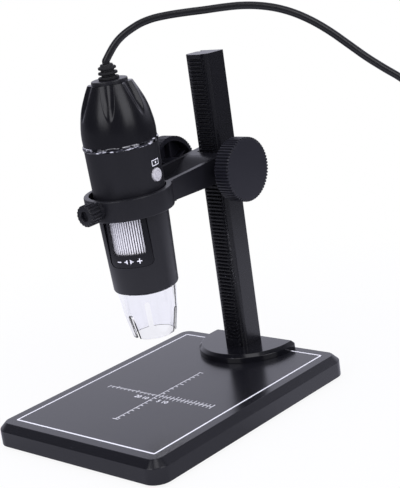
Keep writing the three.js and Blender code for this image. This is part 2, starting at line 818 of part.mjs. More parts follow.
function mainBarrel() {
  const end = -barrelEndDepth;
  const ledgeRadius = barrelEndRadius - barrelNoseWall;
  const socketRadius = barrelEndRadius - barrelLedgeWall;
  const spigotRadius = barrelBoreRadius;
  const groove = -focusRingBottomDepth - runGap;
  const profile = [
    [socketRadius, end],
    [barrelEndRadius - barrelEndEdge, end],
    [barrelEndRadius, end + barrelEndEdge],
    [barrelMiddleRadius, ringTop],
    [barrelTopRadius, barrelTopHeight],
    [spigotRadius, barrelTopHeight],
    [spigotRadius, barrelTopHeight + barrelSpigotHeight],
    [spigotRadius - barrelSpigotWall, barrelTopHeight + barrelSpigotHeight],
    [spigotRadius - barrelSpigotWall, barrelTopHeight - barrelSpigotWall],
    [barrelBoreRadius, barrelTopHeight - 2 * barrelSpigotWall],
    [barrelBoreRadius, groove],
    [lensBarrelRadius + runGap, groove],
    [lensBarrelRadius + runGap, groove - focusWebThickness],
    [ledgeRadius, groove - focusWebThickness],
    [ledgeRadius, -ledBoardDepth],
    [socketRadius, -ledBoardDepth],
  ];
  const shell = turned([...profile, profile[0]]);
  const innerY = barrelBoreRadius - recessDepth;
  const window = frontBlock(
    windowWidth,
    windowHeight,
    windowCornerRadius,
    -windowTopDepth,
    innerY - windowWidth / 4,
  );
  const recessBlock = frontBlock(recessWidth, recessHeight, recessCornerRadius, -recessTopDepth, 0);
  const recessMiddle = -recessTopDepth - recessHeight / 2;
  const sunk = barrelRadiusAt(recessMiddle) - recessDepth;
  const band = tube(
    sunk,
    barrelTopRadius + 2 * cutOverrun,
    recessMiddle - recessHeight,
    recessMiddle + recessHeight,
  );
  const recess = shared(band, recessBlock);
  const buttonHole = alongX(rod(buttonRadius + runGap, 0, barrelTopRadius + cutOverrun))
    .translate(0, 0, buttonHeight);
  return shaped(shell, [], [window, recess, buttonHole]);
}

function chromeRing() {
  const low = barrelTopHeight;
  const high = barrelTopHeight + chromeHeight;
  const edge = chromeRadius - barrelTopRadius;
  const innerRadius = barrelBoreRadius + seatGap;
  const profile = [
    [innerRadius, low],
    [chromeRadius - edge, low],
    [chromeRadius, low + edge],
    [chromeRadius, high - edge],
    [chromeRadius - edge, high],
    [innerRadius, high],
  ];
  return turned([...profile, profile[0]]);
}

// The tail's outside, from the chrome ring up to its rim
function tailCurve() {
  const low = barrelTopHeight + chromeHeight;
  const heightShares = [0, 0.16, 0.35, 0.61, 0.83, 1];
  const radiusShares = [0.99, 1, 0.92, 0.685, 0.33, 0];
  return new THREE.SplineCurve(heightShares.map((share, i) => new THREE.Vector2(
    tailRimRadius + radiusShares[i] * (tailShoulderRadius - tailRimRadius),
    low + share * tailHeight,
  )));
}

function tailRadiusAt(height) {
  const points = tailCurve().getPoints(roundSteps);
  const above = points.findIndex((p) => p.y >= height);
  const next = points[Math.max(above, 1)];
  const last = points[Math.max(above, 1) - 1];
  return last.x + (next.x - last.x) * (height - last.y) / (next.y - last.y);
}

// One spear-shaped groove, cut as a stack of V sections from its point up to the rim
function fluteCutter(turn) {
  const top = barrelTopHeight + chromeHeight + tailHeight;
  const bottom = top - fluteLengthShare * tailHeight;
  const sections = Array.from({ length: fluteSections }, (_, i) => {
    const share = (i + fluteFirstStepShare) / (fluteSections - 1);
    const height = bottom + share * (top - bottom);
    const fullness = Math.sqrt(1 - (1 - Math.min(share, 1)) ** 2);
    const surface = tailRadiusAt(Math.min(height, top));
    const half = fullness * fluteWidth / 2;
    const floor = surface - fluteDepth * fullness;
    const reach = surface + fluteWidth / 2;
    const flare = half + fluteWidth / 4;
    return [[floor, 0], [surface, half], [reach, flare], [reach, -flare], [surface, -half]]
      .map(([x, y]) => new THREE.Vector3(x, y, height));
  });
  return loft(sections).rotateZ(turn);
}

function tailHousing() {
  const low = barrelTopHeight + chromeHeight;
  const top = low + tailHeight;
  const outer = tailCurve().getPoints(tinySteps).map((p) => [p.x, p.y]);
  const boreRadius = barrelBoreRadius + seatGap;
  const boreTop = low + barrelSpigotHeight;
  const roof = top - tailWall;
  const inner = [
    [tailHoleRadius, top],
    [tailHoleRadius, roof],
    [tailRimRadius - tailWall, roof - tailWall],
    [tailRadiusAt(low + tailHeight / 2) - tailWall, low + tailHeight / 2],
    [boreRadius, boreTop],
    [boreRadius, low],
  ];
  const profile = [...outer, ...inner];
  const shell = turned([...profile, profile[0]]);
  const flutes = Array.from({ length: fluteCount }, (_, i) => fluteCutter(
    radians(fluteTurnDegrees) + i * 2 * Math.PI / fluteCount,
  ));
  return shaped(shell, [], flutes);
}

const tailTop = barrelTopHeight + chromeHeight + tailHeight;
const discTop = tailTop + discThickness;
const reliefTop = discTop + (reliefRingRadii.length - 1) * reliefRingPitch + reliefRingHeight
  + reliefRingPitch / 2;

function endDisc() {
  const edge = discThickness / 4;
  const holeRadius = reliefNeckRadius + seatGap;
  const profile = [
    [holeRadius, tailTop],
    [discRadius, tailTop],
    [discRadius, discTop - edge],
    [discRadius - edge, discTop],
    [holeRadius, discTop],
  ];
  return turned([...profile, profile[0]]);
}

// The rubber strain relief: three rings on a neck, held by a flange under the disc
function strainRelief() {
  const flangeRadius = tailHoleRadius - seatGap;
  const profile = [
    [0, tailTop - reliefFlangeThickness],
    [flangeRadius, tailTop - reliefFlangeThickness],
    [flangeRadius, tailTop - seatGap],
    [reliefNeckRadius, tailTop - seatGap],
    [reliefNeckRadius, discTop],
  ];
  reliefRingRadii.forEach((radius, i) => {
    const low = discTop + i * reliefRingPitch;
    profile.push([radius, low], [radius, low + reliefRingHeight]);
    profile.push([reliefNeckRadius, low + reliefRingHeight + seatGap]);
    profile.push([reliefNeckRadius, low + reliefRingPitch - seatGap]);
  });
  profile.pop();
  profile.push([reliefNeckRadius - seatGap, reliefTop], [0, reliefTop]);
  return turned(profile, smallSteps);
}

// The focus ring that a finger turns through the window
function focusRing() {
  const low = -focusRingBottomDepth;
  const high = -focusRingTopDepth;
  const radius = barrelBoreRadius - runGap;
  const rim = ribbedOutline(radius, focusRingRibs, focusRingRibDepth);
  const plain = ribbedOutline(radius - focusRingPlainStep, focusRingRibs, 0);
  const drum = loft([
    level(plain, low),
    level(plain, low + focusRingPlainLength - focusRingScallop),
    level(rim, low + focusRingPlainLength),
    level(rim, high),
  ]);
  const innerRadius = radius - focusRingWall;
  const webHigh = (low + high) / 2;
  const webLow = webHigh - focusWebThickness;
  const cuts = [
    rod(innerRadius, low - cutOverrun, webLow, roundSteps),
    rod(innerRadius, webHigh, high + cutOverrun, roundSteps),
    rod(lensBarrelRadius + runGap, low - cutOverrun, high + cutOverrun),
  ];
  return shaped(drum, [], cuts);
}

function focusRetainer() {
  const low = -focusRingTopDepth + runGap;
  const outerRadius = barrelBoreRadius - seatGap;
  return tube(outerRadius - retainerWidth, outerRadius, low, low + retainerThickness, smallSteps);
}

const retainerTop = -focusRingTopDepth + runGap + retainerThickness;

function spacerTube() {
  const outerRadius = barrelBoreRadius - seatGap;
  return tube(outerRadius - spacerWall, outerRadius, retainerTop, spacerTopHeight, smallSteps);
}

function sensorBoard() {
  return rod(barrelBoreRadius - seatGap, spacerTopHeight, spacerTopHeight + boardThickness, roundSteps);
}

function sensorChip() {
  const half = sensorSize / 2;
  return box(-half, half, -half, half, spacerTopHeight - sensorThickness, spacerTopHeight);
}

function mainBoard() {
  const low = spacerTopHeight + boardThickness;
  const outerX = mainBoardOffset + boardThickness;
  const half = Math.sqrt((barrelBoreRadius - seatGap) ** 2 - outerX ** 2);
  return box(mainBoardOffset, outerX, -half, half, low, low + mainBoardHeight);
}

const buttonSurface = barrelRadiusAt(buttonHeight);
const buttonFlangeX = barrelBoreRadius - buttonFlangeSetback - buttonFlangeThickness;

function buttonSwitch() {
  const baseX = mainBoardOffset + boardThickness;
  const bodyX = buttonFlangeX - buttonTravel - runGap - switchPlungerLength;
  const half = switchSize / 2;
  const body = box(baseX, bodyX, -half, half, buttonHeight - half, buttonHeight + half);
  const plunger = alongX(rod(switchPlungerRadius, baseX + half / 4, bodyX + switchPlungerLength))
    .translate(0, 0, buttonHeight);
  return shaped(body, [plunger]);
}

function snapButton() {
  const face = buttonSurface + buttonProud;
  const edge = buttonProud / 3;
  return alongX(turned([
    [0, buttonFlangeX],
    [buttonFlangeRadius, buttonFlangeX],
    [buttonFlangeRadius, buttonFlangeX + buttonFlangeThickness],
    [buttonRadius, buttonFlangeX + buttonFlangeThickness],
    [buttonRadius, face - edge],
    [buttonRadius - edge, face],
    [0, face],
  ], smallSteps)).translate(0, 0, buttonHeight);
}

function lensBarrel() {
  const low = -lensBarrelBottomDepth;
  const high = -lensBarrelTopDepth;
  const innerRadius = lensBarrelRadius - lensBarrelWall;
  const lipRadius = innerRadius - lensInset;
  const seat = lensInset;
  const profile = [
    [lipRadius, low],
    [lensBarrelRadius, low],
    [lensBarrelRadius, high],
    [innerRadius, high],
    [innerRadius, low + seat],
    [lipRadius, low + seat],
  ];
  return turned([...profile, profile[0]], smallSteps);
}

function frontLens() {
  const low = -lensBarrelBottomDepth + lensInset;
  const radius = lensBarrelRadius - lensBarrelWall - seatGap;
  const crown = lensThickness / 4;
  return turned([
    [0, low],
    [radius, low],
    [radius, low + lensThickness - crown],
    [radius / 2, low + lensThickness - crown / 4],
    [0, low + lensThickness],
  ], smallSteps);
}

function ledBoard() {
  const outerRadius = barrelEndRadius - barrelLedgeWall - seatGap;
  return tube(ledBoardHoleRadius, outerRadius, -ledBoardDepth - boardThickness, -ledBoardDepth);
}

function ledLamp(turn) {
  const high = -ledBoardDepth - boardThickness;
  const low = high - ledLength;
  return turned([
    [0, low],
    [ledRadius / 2, low + ledRadius / 8],
    [ledRadius, low + ledRadius / 2],
    [ledRadius, high],
    [0, high],
  ], tinySteps).translate(ledCircleRadius, 0, 0).rotateZ(turn);
}

// The clear hood: a tenon that plugs into the barrel, then a cone in two slopes down to an open
// mouth, with slots that leave three springy fingers
function noseHood() {
  const top = -barrelEndDepth - seatGap;
  const bend = top - hoodUpperLength;
  const mouth = top - hoodLength;
  const tenonRadius = barrelEndRadius - barrelLedgeWall - seatGap;
  const profile = [
    [tenonRadius - hoodWall, top + hoodTenonLength],
    [tenonRadius - hoodWall, top - hoodWall],
    [hoodMiddleRadius - hoodWall, bend],
    [hoodMouthRadius - hoodWall, mouth],
    [hoodMouthRadius, mouth],
    [hoodMiddleRadius, bend],
    [hoodTopRadius, top],
    [tenonRadius, top],
    [tenonRadius, top + hoodTenonLength],
  ];
  const shell = turned([...profile, profile[0]]);
  const round = hoodSlotWidth / 2;
  const roundHeight = mouth + hoodSlotHeight - round;
  const slots = Array.from({ length: hoodSlotCount }, (_, i) => {
    const turn = radians(hoodSlotTurnDegrees) + i * 2 * Math.PI / hoodSlotCount;
    const straight = box(0, hoodTopRadius, -round, round, mouth - cutOverrun, roundHeight);
    const end = alongX(rod(round, 0, hoodTopRadius)).translate(0, 0, roundHeight);
    return [straight.rotateZ(turn), end.rotateZ(turn)];
  });
  return shaped(shell, [], slots.flat());
}

// The cord's free stretch, from the strain relief over and down to the coil on the table
const cordStarts = [reliefTop + seatGap, reliefTop + seatGap + cordDiameter / 4].map(
  (height) => new THREE.Vector3(0, scopeY, height)
    .applyAxisAngle(new THREE.Vector3(1, 0, 0), armDroop)
    .add(new THREE.Vector3(0, shaftY, shaftZ)),
);
const cordRoute = [
  [0.5, -9.4, 162.5],
  [1.2, -8.7, 163.9],
  [2.1, -7.8, 165.6],
  [3.2, -6.8, 167.4],
  [4.6, -5.5, 169.3],
  [6.6, -3.7, 171.3],
  [9.2, -1.4, 173.2],
  [12.3, 1.5, 175.0],
  [16.1, 5.1, 176.2],
  [20.7, 9.4, 176.7],
  [26.5, 14.9, 176.8],
  [32.0, 20.0, 176.7],
  [37.5, 25.2, 176.7],
  [43.0, 30.3, 176.4],
  [48.4, 35.4, 175.3],
  [53.7, 40.4, 173.3],
  [58.9, 45.3, 170.2],
  [64.1, 50.1, 165.9],
  [69.2, 54.9, 160.5],
  [74.2, 59.6, 154.3],
  [79.3, 64.4, 147.9],
  [84.4, 69.2, 142.2],
  [88.9, 73.5, 137.4],
  [93.3, 77.6, 131.8],
  [97.3, 81.3, 124.5],
  [100.6, 84.4, 114.8],
  [102.9, 86.6, 103.0],
  [104.4, 87.9, 89.5],
  [105.3, 88.8, 74.5],
  [105.8, 89.2, 58.5],
  [106.1, 89.6, 43.0],
  [106.9, 90.3, 30.0],
  [109.1, 92.3, 18.4],
  [113.0, 96.0, 9.6],
  [117.4, 100.1, 4.6],
];

const coilOuterRadius = coilInnerRadius + coilTurnsPerLayer * coilTurnPitch;
const coilFloor = tableClearance + tieStrap + seatGap + cordDiameter / 2;
const coilStartTurn = radians(coilStartDegrees);

// A point on the coil's centre line, by the turns wound so far.
// It spirals in and out at a steady rate and climbs a layer in the half turn where it reverses.
function coilPoint(turns) {
  const sweep = turns / coilTurnsPerLayer;
  const layer = Math.min(Math.floor(sweep), coilLayers - 1);
  const along = sweep - layer;
  const inward = layer % 2 === 0 ? 1 - along : along;
  const radius = coilInnerRadius + inward * (coilOuterRadius - coilInnerRadius);
  const nearest = Math.min(Math.max(Math.round(sweep), 1), coilLayers - 1);
  const climb = THREE.MathUtils.clamp((turns - nearest * coilTurnsPerLayer) * 2 + 0.5, 0, 1);
  const height = coilFloor + (nearest - 1 + climb) * coilLayerPitch;
  const angle = coilStartTurn - turns * 2 * Math.PI;
  return new THREE.Vector3(
    coilCentreX + radius * Math.cos(angle),
    coilCentreY + radius * Math.sin(angle),
    height,
  );
}

const coilTurns = coilLayers * coilTurnsPerLayer;

// The coil's centre line with a straight lead at each end; the last lead slopes down to the plug
function coilCentreLine() {
  const steps = Math.round(coilTurns * coilStepsPerTurn);
  const wound = Array.from({ length: steps + 1 }, (_, i) => coilPoint(i * coilTurns / steps));
  const firstWay = wound[0].clone().sub(wound[1]).setZ(0).normalize();
  const start = wound[0].clone().addScaledVector(firstWay, coilEndStraight);
  const lastWay = wound[steps].clone().sub(wound[steps - 1]).setZ(0).normalize();
  const drop = wound[steps].z - plugBodyThickness / 2 - tableClearance;
  const dropShares = [[0.8, 0], [1.6, 0.12], [2.4, 0.34], [3.2, 0.62], [4, 0.85], [4.8, 0.97], [5.6, 1]];
  const lead = dropShares.map(([reach, fall]) => wound[steps].clone()
    .addScaledVector(lastWay, reach * 2 * cordDiameter)
    .add(new THREE.Vector3(0, 0, -fall * drop)));
  const end = lead[lead.length - 1].clone().addScaledVector(lastWay, coilEndStraight);
  return { points: [start, ...wound, ...lead, end], lastWay, end };
}

// A tube of a few sides along a list of points that lie mostly flat
function sweptTube(points, radius, sides) {
  const up = new THREE.Vector3(0, 0, 1);
  const rings = points.map((point, i) => {
    const before = points[Math.max(i - 1, 0)];
    const after = points[Math.min(i + 1, points.length - 1)];
    const way = after.clone().sub(before).normalize();
    const side = new THREE.Vector3().crossVectors(way, up).normalize();
    const lift = new THREE.Vector3().crossVectors(side, way);
    return Array.from({ length: sides }, (_, k) => {
      const angle = k * 2 * Math.PI / sides;
      return point.clone()
        .addScaledVector(side, radius * Math.cos(angle))
        .addScaledVector(lift, radius * Math.sin(angle));
    });
  });
  return loft(rings);
}

// Prints the least gap between two turns of the coil, measured on its centre line
function leastCoilGap(points) {
  const apart = Math.round(coilStepsPerTurn / 2);
  let least = Infinity;
  for (let i = 0; i < points.length; i += 1) {
    for (let k = i + apart; k < points.length; k += 1) {
      least = Math.min(least, points[i].distanceTo(points[k]) - cordDiameter);
    }
  }
  return least;
}

const coilLine = coilCentreLine();
console.log(`Least gap of the coil to itself: ${leastCoilGap(coilLine.points).toFixed(2)} mm`);

function usbCord() {
  const section = new THREE.Shape(Array.from({ length: cordSides }, (_, i) => {
    const angle = (i + 0.5) * 2 * Math.PI / cordSides;
    return new THREE.Vector2(cordDiameter / 2 * Math.cos(angle), cordDiameter / 2 * Math.sin(angle));
  }));
  const way = coilLine.points[1].clone().sub(coilLine.points[0]).normalize();
  const meeting = coilLine.points[0].clone().addScaledVector(way, -seatGap);
  const before = meeting.clone().addScaledVector(way, -coilEndStraight);
  const points = [...cordStarts, ...cordRoute.map((p) => new THREE.Vector3(...p)), before, meeting];
  const path = new THREE.CatmullRomCurve3(points, false, 'centripetal');
  return new THREE.ExtrudeGeometry(section, { steps: cordSteps, extrudePath: path });
}

function cordCoil() {
  return sweptTube(coilLine.points, cordDiameter / 2, coilSides);
}

// A strap round the coil's turns on one side, with rounded corners
function coilTie() {
  const innerWidth = coilOuterRadius - coilInnerRadius + cordDiameter + 2 * seatGap;
  const innerHeight = (coilLayers - 1) * coilLayerPitch + cordDiameter + 2 * seatGap;
  const outer = roundedRectangle(innerWidth + 2 * tieStrap, innerHeight + 2 * tieStrap, tieCornerRadius);
  const inner = roundedRectangle(innerWidth, innerHeight, tieCornerRadius - tieStrap);
  const strap = shaped(
    prism(outer, -tieWidth / 2, tieWidth / 2),
    [],
    [prism(inner, -tieWidth / 2 - cutOverrun, tieWidth / 2 + cutOverrun)],
  );
  const middleRadius = (coilInnerRadius + coilOuterRadius) / 2;
  const middleHeight = coilFloor + (coilLayers - 1) * coilLayerPitch / 2;
  return alongFront(strap)
    .translate(middleRadius, 0, middleHeight)
    .rotateZ(radians(tieTurnDegrees))
    .translate(coilCentreX, coilCentreY, 0);
}

// The plug is made along +Z from the end of its neck, then laid flat at the cord's end
const plugSeat = plugNeckLength + plugBodyLength;

function plugBody() {
  const neck = rod(plugNeckRadius, 0, plugNeckLength + plugBodyEdge, tinySteps);
  const outline = (inset) => roundedRectangle(
    plugBodyWidth - 2 * inset,
    plugBodyThickness - 2 * inset,
    plugBodyThickness / 2 - plugBodyEdge,
    fewCornerSteps,
  );
  const body = loft([
    level(outline(plugBodyEdge), plugNeckLength),
    level(outline(plugBodyEdge / 4), plugNeckLength + plugBodyEdge),
    level(outline(0), plugNeckLength + 2 * plugBodyEdge),
    level(outline(0), plugSeat - plugBodyEdge / 2),
    level(outline(plugBodyEdge / 4), plugSeat),
  ]);
  return shaped(body, [neck]);
}

function plugShell() {
  const outline = (inset) => roundedRectangle(
    plugShellWidth - 2 * inset,
    plugShellThickness - 2 * inset,
    plugShellCornerRadius,
    1,
  );
  const low = plugSeat + plugPartGap;
  const high = low + plugShellLength;
  return shaped(
    prism(outline(0), low, high),
    [],
    [prism(roundedRectangle(
      plugShellWidth - 2 * plugShellWall,
      plugShellThickness - 2 * plugShellWall,
      plugShellCornerRadius - plugShellWall,
      1,
    ), low + plugShellWall, high + cutOverrun)],
  );
}

function plugTongue() {
  const low = plugSeat + plugPartGap + plugShellWall;
  const halfWidth = plugShellWidth / 2 - plugShellWall - seatGap;
  const high = plugShellThickness / 2 - plugShellWall - plugPartGap;
  return box(-halfWidth, halfWidth, high - plugTongueThickness, high, low, low + plugShellLength * 3 / 4);
}

function group(...members) {
  const holder = new THREE.Group();
  holder.add(...members);
  return holder;
}

const stand = group(
  piece('base_shell', baseShell(), 'base'),
  piece('bottom_cover', bottomCover(), 'black'),
  piece('ballast_plate', ballastPlate(), 'steel'),
  piece('column_foot', columnFootPlate(), 'column'),
  piece('rack_column', rackColumn(), 'column'),
);
cornerPlaces.forEach(([x, y], i) => {
  stand.add(piece(`rubber_foot_${i + 1}`, rubberFoot().translate(x, y, 0), 'rubber'));
  stand.add(piece(`cover_screw_${i + 1}`, coverScrew().translate(x, y, 0), 'steel'));
});
columnScrewPlaces().forEach((x, i) => {
  stand.add(piece(`column_screw_${i + 1}`, columnScrew().translate(x, columnMiddleY, 0), 'steel'));
});

const rightKnob = piece('knob_right', alongX(liftKnob()).translate(knobInnerX, 0, 0), 'knob');
const leftKnob = piece('knob_left', alongX(liftKnob()).translate(knobInnerX, 0, 0), 'knob');
leftKnob.rotation.z = Math.PI;

const microscope = group(
  piece('main_barrel', mainBarrel(), 'black'),
  piece('chrome_ring', chromeRing(), 'chrome'),
  piece('tail_housing', tailHousing(), 'black'),
  piece('end_disc', endDisc(), 'black'),
  piece('strain_relief', strainRelief(), 'rubber'),
  piece('focus_ring', focusRing(), 'silver'),
  piece('focus_retainer', focusRetainer(), 'nylon'),
  piece('spacer_tube', spacerTube(), 'black'),
  piece('sensor_board', sensorBoard(), 'board'),
  piece('sensor_chip', sensorChip(), 'chip'),
  piece('main_board', mainBoard(), 'board'),
  piece('button_switch', buttonSwitch(), 'chip'),
  piece('snap_button', snapButton(), 'silver'),
  piece('lens_barrel', lensBarrel(), 'black'),
  piece('front_lens', frontLens(), 'glass'),
  piece('led_board', ledBoard(), 'board'),
  piece('nose_hood', noseHood(), 'clear'),
);
for (let i = 0; i < ledCount; i += 1) {
  microscope.add(piece(`led_${i + 1}`, ledLamp((i + 0.5) * 2 * Math.PI / ledCount), 'led'));
}
microscope.position.set(0, scopeY, 0);
microscope.rotation.z = radians(scopeTurnDegrees);

const drooping = group(
  microscope,
  piece('clamp_stud', clampStud(), 'steel'),
  piece('clamp_knob', clampKnob(), 'black'),
);
drooping.rotation.x = armDroop;

const carriage = group(
  piece('carriage_arm', carriageArm(), 'black'),
  piece('sleeve_liner', sleeveLiner(), 'nylon'),
  piece('pinion_shaft', pinionShaft(), 'steel'),
  rightKnob,
  leftKnob,
  drooping,
);
carriage.position.set(0, shaftY, shaftZ);

const plug = group(
  piece('plug_body', plugBody(), 'rubber'),
  piece('plug_shell', plugShell(), 'steel'),
  piece('plug_tongue', plugTongue(), 'nylon'),
);
const plugMouthWay = coilLine.lastWay.clone();
const plugUp = new THREE.Vector3(0, 0, 1);
const plugSide = new THREE.Vector3().crossVectors(plugUp, plugMouthWay);
plug.quaternion.setFromRotationMatrix(new THREE.Matrix4().makeBasis(plugSide, plugUp, plugMouthWay));
plug.position.copy(coilLine.end).addScaledVector(plugMouthWay, seatGap);

const assembly = group(
  stand,
  carriage,
  piece('usb_cord', usbCord(), 'cord'),
  piece('cord_coil', cordCoil(), 'cord'),
  piece('coil_tie', coilTie(), 'rubber'),
  plug,
);
assembly.updateMatrixWorld(true);

export default assembly;
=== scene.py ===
"""Looks of a USB microscope that hangs in the ring of a rack and pinion lift stand.

Sizes are in millimetres and become metres in the last step of each piece.
The origin is on the table under the middle of the base, +Z is up and the column stands at +Y.
"""

import math

import bmesh
import bpy
from mathutils import Matrix, Vector


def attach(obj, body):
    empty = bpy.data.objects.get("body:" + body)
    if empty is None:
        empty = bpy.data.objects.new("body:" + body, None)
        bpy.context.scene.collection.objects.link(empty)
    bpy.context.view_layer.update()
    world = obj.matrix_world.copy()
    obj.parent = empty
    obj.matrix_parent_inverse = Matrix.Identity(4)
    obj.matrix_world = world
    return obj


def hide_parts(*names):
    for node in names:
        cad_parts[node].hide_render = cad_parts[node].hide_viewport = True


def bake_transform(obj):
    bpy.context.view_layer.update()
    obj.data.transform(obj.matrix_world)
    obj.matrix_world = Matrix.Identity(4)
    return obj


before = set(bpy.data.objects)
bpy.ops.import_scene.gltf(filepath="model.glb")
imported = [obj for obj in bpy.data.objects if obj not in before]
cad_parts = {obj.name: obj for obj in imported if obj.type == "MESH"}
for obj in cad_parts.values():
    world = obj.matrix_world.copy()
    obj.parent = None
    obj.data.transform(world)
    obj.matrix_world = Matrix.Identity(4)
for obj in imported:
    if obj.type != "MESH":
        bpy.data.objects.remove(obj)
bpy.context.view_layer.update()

MM = 0.001
FULL_TURN = 2 * math.pi
QUARTER_TURN = math.pi / 2
FINE_MERGE, MERGE = 0.00001, 0.0005
corner_sides = [(1, 1), (-1, 1), (-1, -1), (1, -1)]

# Base and column
base_width, base_depth = 100, 130
base_underside, base_top = 1.2, 11.2
base_corner, base_chamfer, base_wall = 7.2, 2.9, 2.4
cavity_top = 8.2
foot_reach_x, foot_reach_y, foot_radius, foot_height = 35, 50, 6, 2.5
column_width = 13.5
plate_top, plate_radius, plate_middle_y, plate_back_y = 15.2, 24.7, 56.8, 61.8
plate_corner, plate_edge = 2, 1.5

# Carriage, from the middle of the pinion's shaft
shaft_y, shaft_z = 41.7363, 103.3
droop = math.radians(2)
sleeve_width, sleeve_back, sleeve_corner = 22.6, 19.7, 3
bore_front_y, bore_back_y, rack_bore_front_y, rack_bore_half = 45.5, 59.2, 44, 4.3
running_gap, gear_room, gear_half, shaft_room, stud_room = 0.3, 3.8637, 3.8, 2.3, 2.3
sleeve_low, sleeve_high, sleeve_slope = -5.6, 6.1, 0.1
ramp_start, ramp_end = -15.5, -1
pad_half_width, pad_back = 12, 16.6
hub_room, hub_depth = 4.9, 8.6
arm_reach = 50.5
arm_top_at_ring, arm_low_at_ring, arm_wall = 4.3, -4.75, 2.4
ring_top, ring_low, ring_outer, ring_inner = 4.4, -4.9, 19.2, 17
boss_radius, boss_height, clamp_height = 3.9, 1.3, 0.5
knob_radius, knob_thickness, knob_inner_x = 14.5, 7.6, 18.4
knob_ribs, knob_rib_depth, knob_webs = 60, 0.7, 6
knob_hub_radius, knob_hub_end, knob_floor, knob_bore_end = 4.5, -9.55, 5, 3.9
clamp_radius, clamp_length, clamp_gap, clamp_ribs = 4.75, 6.2, 0.4, 18

# Microscope, along its own axis from the level of the shaft
scope_setback, scope_turn = 1, math.radians(8.5)
barrel_top, barrel_top_radius, barrel_middle_radius = 24.05, 16, 15.7
barrel_end, barrel_end_radius, bore_radius = -39.4, 14.4, 13.2
window_turn = math.radians(16.5)
field_size, field_top, field_depth = (20, 23.6), -3.2, 0.7
window_size, window_top, window_corner, field_corner = (15.2, 17.1), -4, 1, 2.6
panel_gap, panel_proud = 0.15, 0.12
drum_ribs, drum_rib_depth, drum_radius, drum_low, drum_high = 75, 1.0, 12.9, -21.6, -3
chrome_radius, chrome_height = 16.45, 2
tail_height, tail_rim = 24.85, 9.65
flute_count, flute_width, flute_depth, flute_share = 6, 6.2, 1.6, 0.57
flute_turn = math.radians(-2.4)
disc_radius, disc_thickness = 7.8, 1.55
relief_radii, relief_neck, relief_ring, relief_pitch = (4.45, 4.15, 3.85), 2.9, 1.15, 2.1
button_height, button_radius, button_face = 10.7, 2.9, 16.7
hood_top, hood_bend, hood_mouth, hood_tenon = -39.7, -51.4, -61.5, 2.6
hood_top_radius, hood_bend_radius, hood_mouth_radius, hood_wall = 13.15, 11.8, 9.75, 1.1
slot_count, slot_width, slot_height, slot_turn = 3, 2.6, 11.5, math.radians(15)

# Cord
cord_diameter = 3.2
coil_centre = (142.4, 91.4)
coil_inner, coil_layers, coil_turns_per_layer = 13.6, 4, 2.6
coil_turn_pitch, coil_layer_pitch, coil_lift = 3.8, 3.7, 0.95
coil_steps_per_turn = 24
coil_start_turn = math.radians(133.2)
seat_gap = 0.3

tail_low = barrel_top + chrome_height
tail_top = tail_low + tail_height
disc_top = tail_top + disc_thickness
relief_top = disc_top + 2 * relief_pitch + relief_ring + relief_pitch / 2


def shift(x, y, z):
    return Matrix.Translation((x, y, z))


def turned(angle, axis):
    return Matrix.Rotation(angle, 4, axis)


row_place = Matrix.Diagonal((MM, MM, MM, 1))
carriage_place = row_place @ shift(0, shaft_y, shaft_z)
arm_place = carriage_place @ turned(droop, "X")
scope_straight = arm_place @ shift(0, scope_setback - arm_reach, 0)
scope_place = scope_straight @ turned(scope_turn, "Z")
to_front = turned(QUARTER_TURN, "X")
to_right = turned(QUARTER_TURN, "Y")


def linked(name, data):
    """A new object in the scene."""
    thing = bpy.data.objects.new(name, data)
    bpy.context.scene.collection.objects.link(thing)
    return thing


# Camera

camera_data = bpy.data.cameras.new("camera")
camera_data.lens = 91.08
camera_data.sensor_width = 36
camera_data.clip_start = 0.01
camera = linked("camera", camera_data)
camera.rotation_mode = "QUATERNION"
camera.location = (0.37553, -0.36975, 0.21349)
camera.rotation_quaternion = (0.754898, 0.551101, 0.264148, 0.237998)
bpy.context.scene.camera = camera
bpy.context.scene.view_settings.view_transform = "Standard"


# Mesh tools

def spun(bm, geom, steps):
    """Turns a wire into a closed shell round the Z axis."""
    bmesh.ops.spin(bm, geom=geom, axis=(0, 0, 1), angle=FULL_TURN, steps=steps, use_merge=True)
    bmesh.ops.remove_doubles(bm, verts=bm.verts, dist=FINE_MERGE)
    bmesh.ops.recalc_face_normals(bm, faces=bm.faces)
    return bm


def lathe(profile, steps=96):
    """Spins a profile of (radius, height) round the Z axis. It starts and ends on the axis, or closes on itself."""
    bm = bmesh.new()
    verts = [bm.verts.new((radius, 0, height)) for radius, height in profile]
    edges = [bm.edges.new(pair) for pair in zip(verts, verts[1:])]
    if profile[0][0] > 0:
        edges.append(bm.edges.new((verts[-1], verts[0])))
    return spun(bm, verts + edges, steps)


def rod(radius, low, high, steps=64):
    return lathe([(0, low), (radius, low), (radius, high), (0, high)], steps)


def extruded(bm, faces, keep=False):
    """Extrudes faces, and returns the new faces and the new vertices."""
    geom = bmesh.ops.extrude_face_region(bm, geom=faces, use_keep_orig=keep)["geom"]
    return [[part for part in geom if isinstance(part, kind)] for kind in (bmesh.types.BMFace, bmesh.types.BMVert)]


def prism(outline, low, high):
    """Raises a flat outline from one height to another."""
    bm = bmesh.new()
    face = bm.faces.new([bm.verts.new((x, y, low)) for x, y in outline])
    top = extruded(bm, [face], True)[1]
    bmesh.ops.translate(bm, vec=(0, 0, high - low), verts=top)
    bmesh.ops.recalc_face_normals(bm, faces=bm.faces)
    return bm


def block(low, high):
    """A box between two corners."""
    size = Vector(high) - Vector(low)
    middle = (Vector(high) + Vector(low)) / 2
    bm = bmesh.new()
    bmesh.ops.create_cube(bm, size=1, matrix=Matrix.Translation(middle) @ Matrix.Diagonal((*size, 1)))
    return bm


def arc(x, y, radius, start, end, steps):
    """Points round a centre, from one quarter turn to another."""
    angles = [(start + (end - start) * i / steps) * QUARTER_TURN for i in range(steps + 1)]
    return [(x + radius * math.cos(angle), y + radius * math.sin(angle)) for angle in angles]


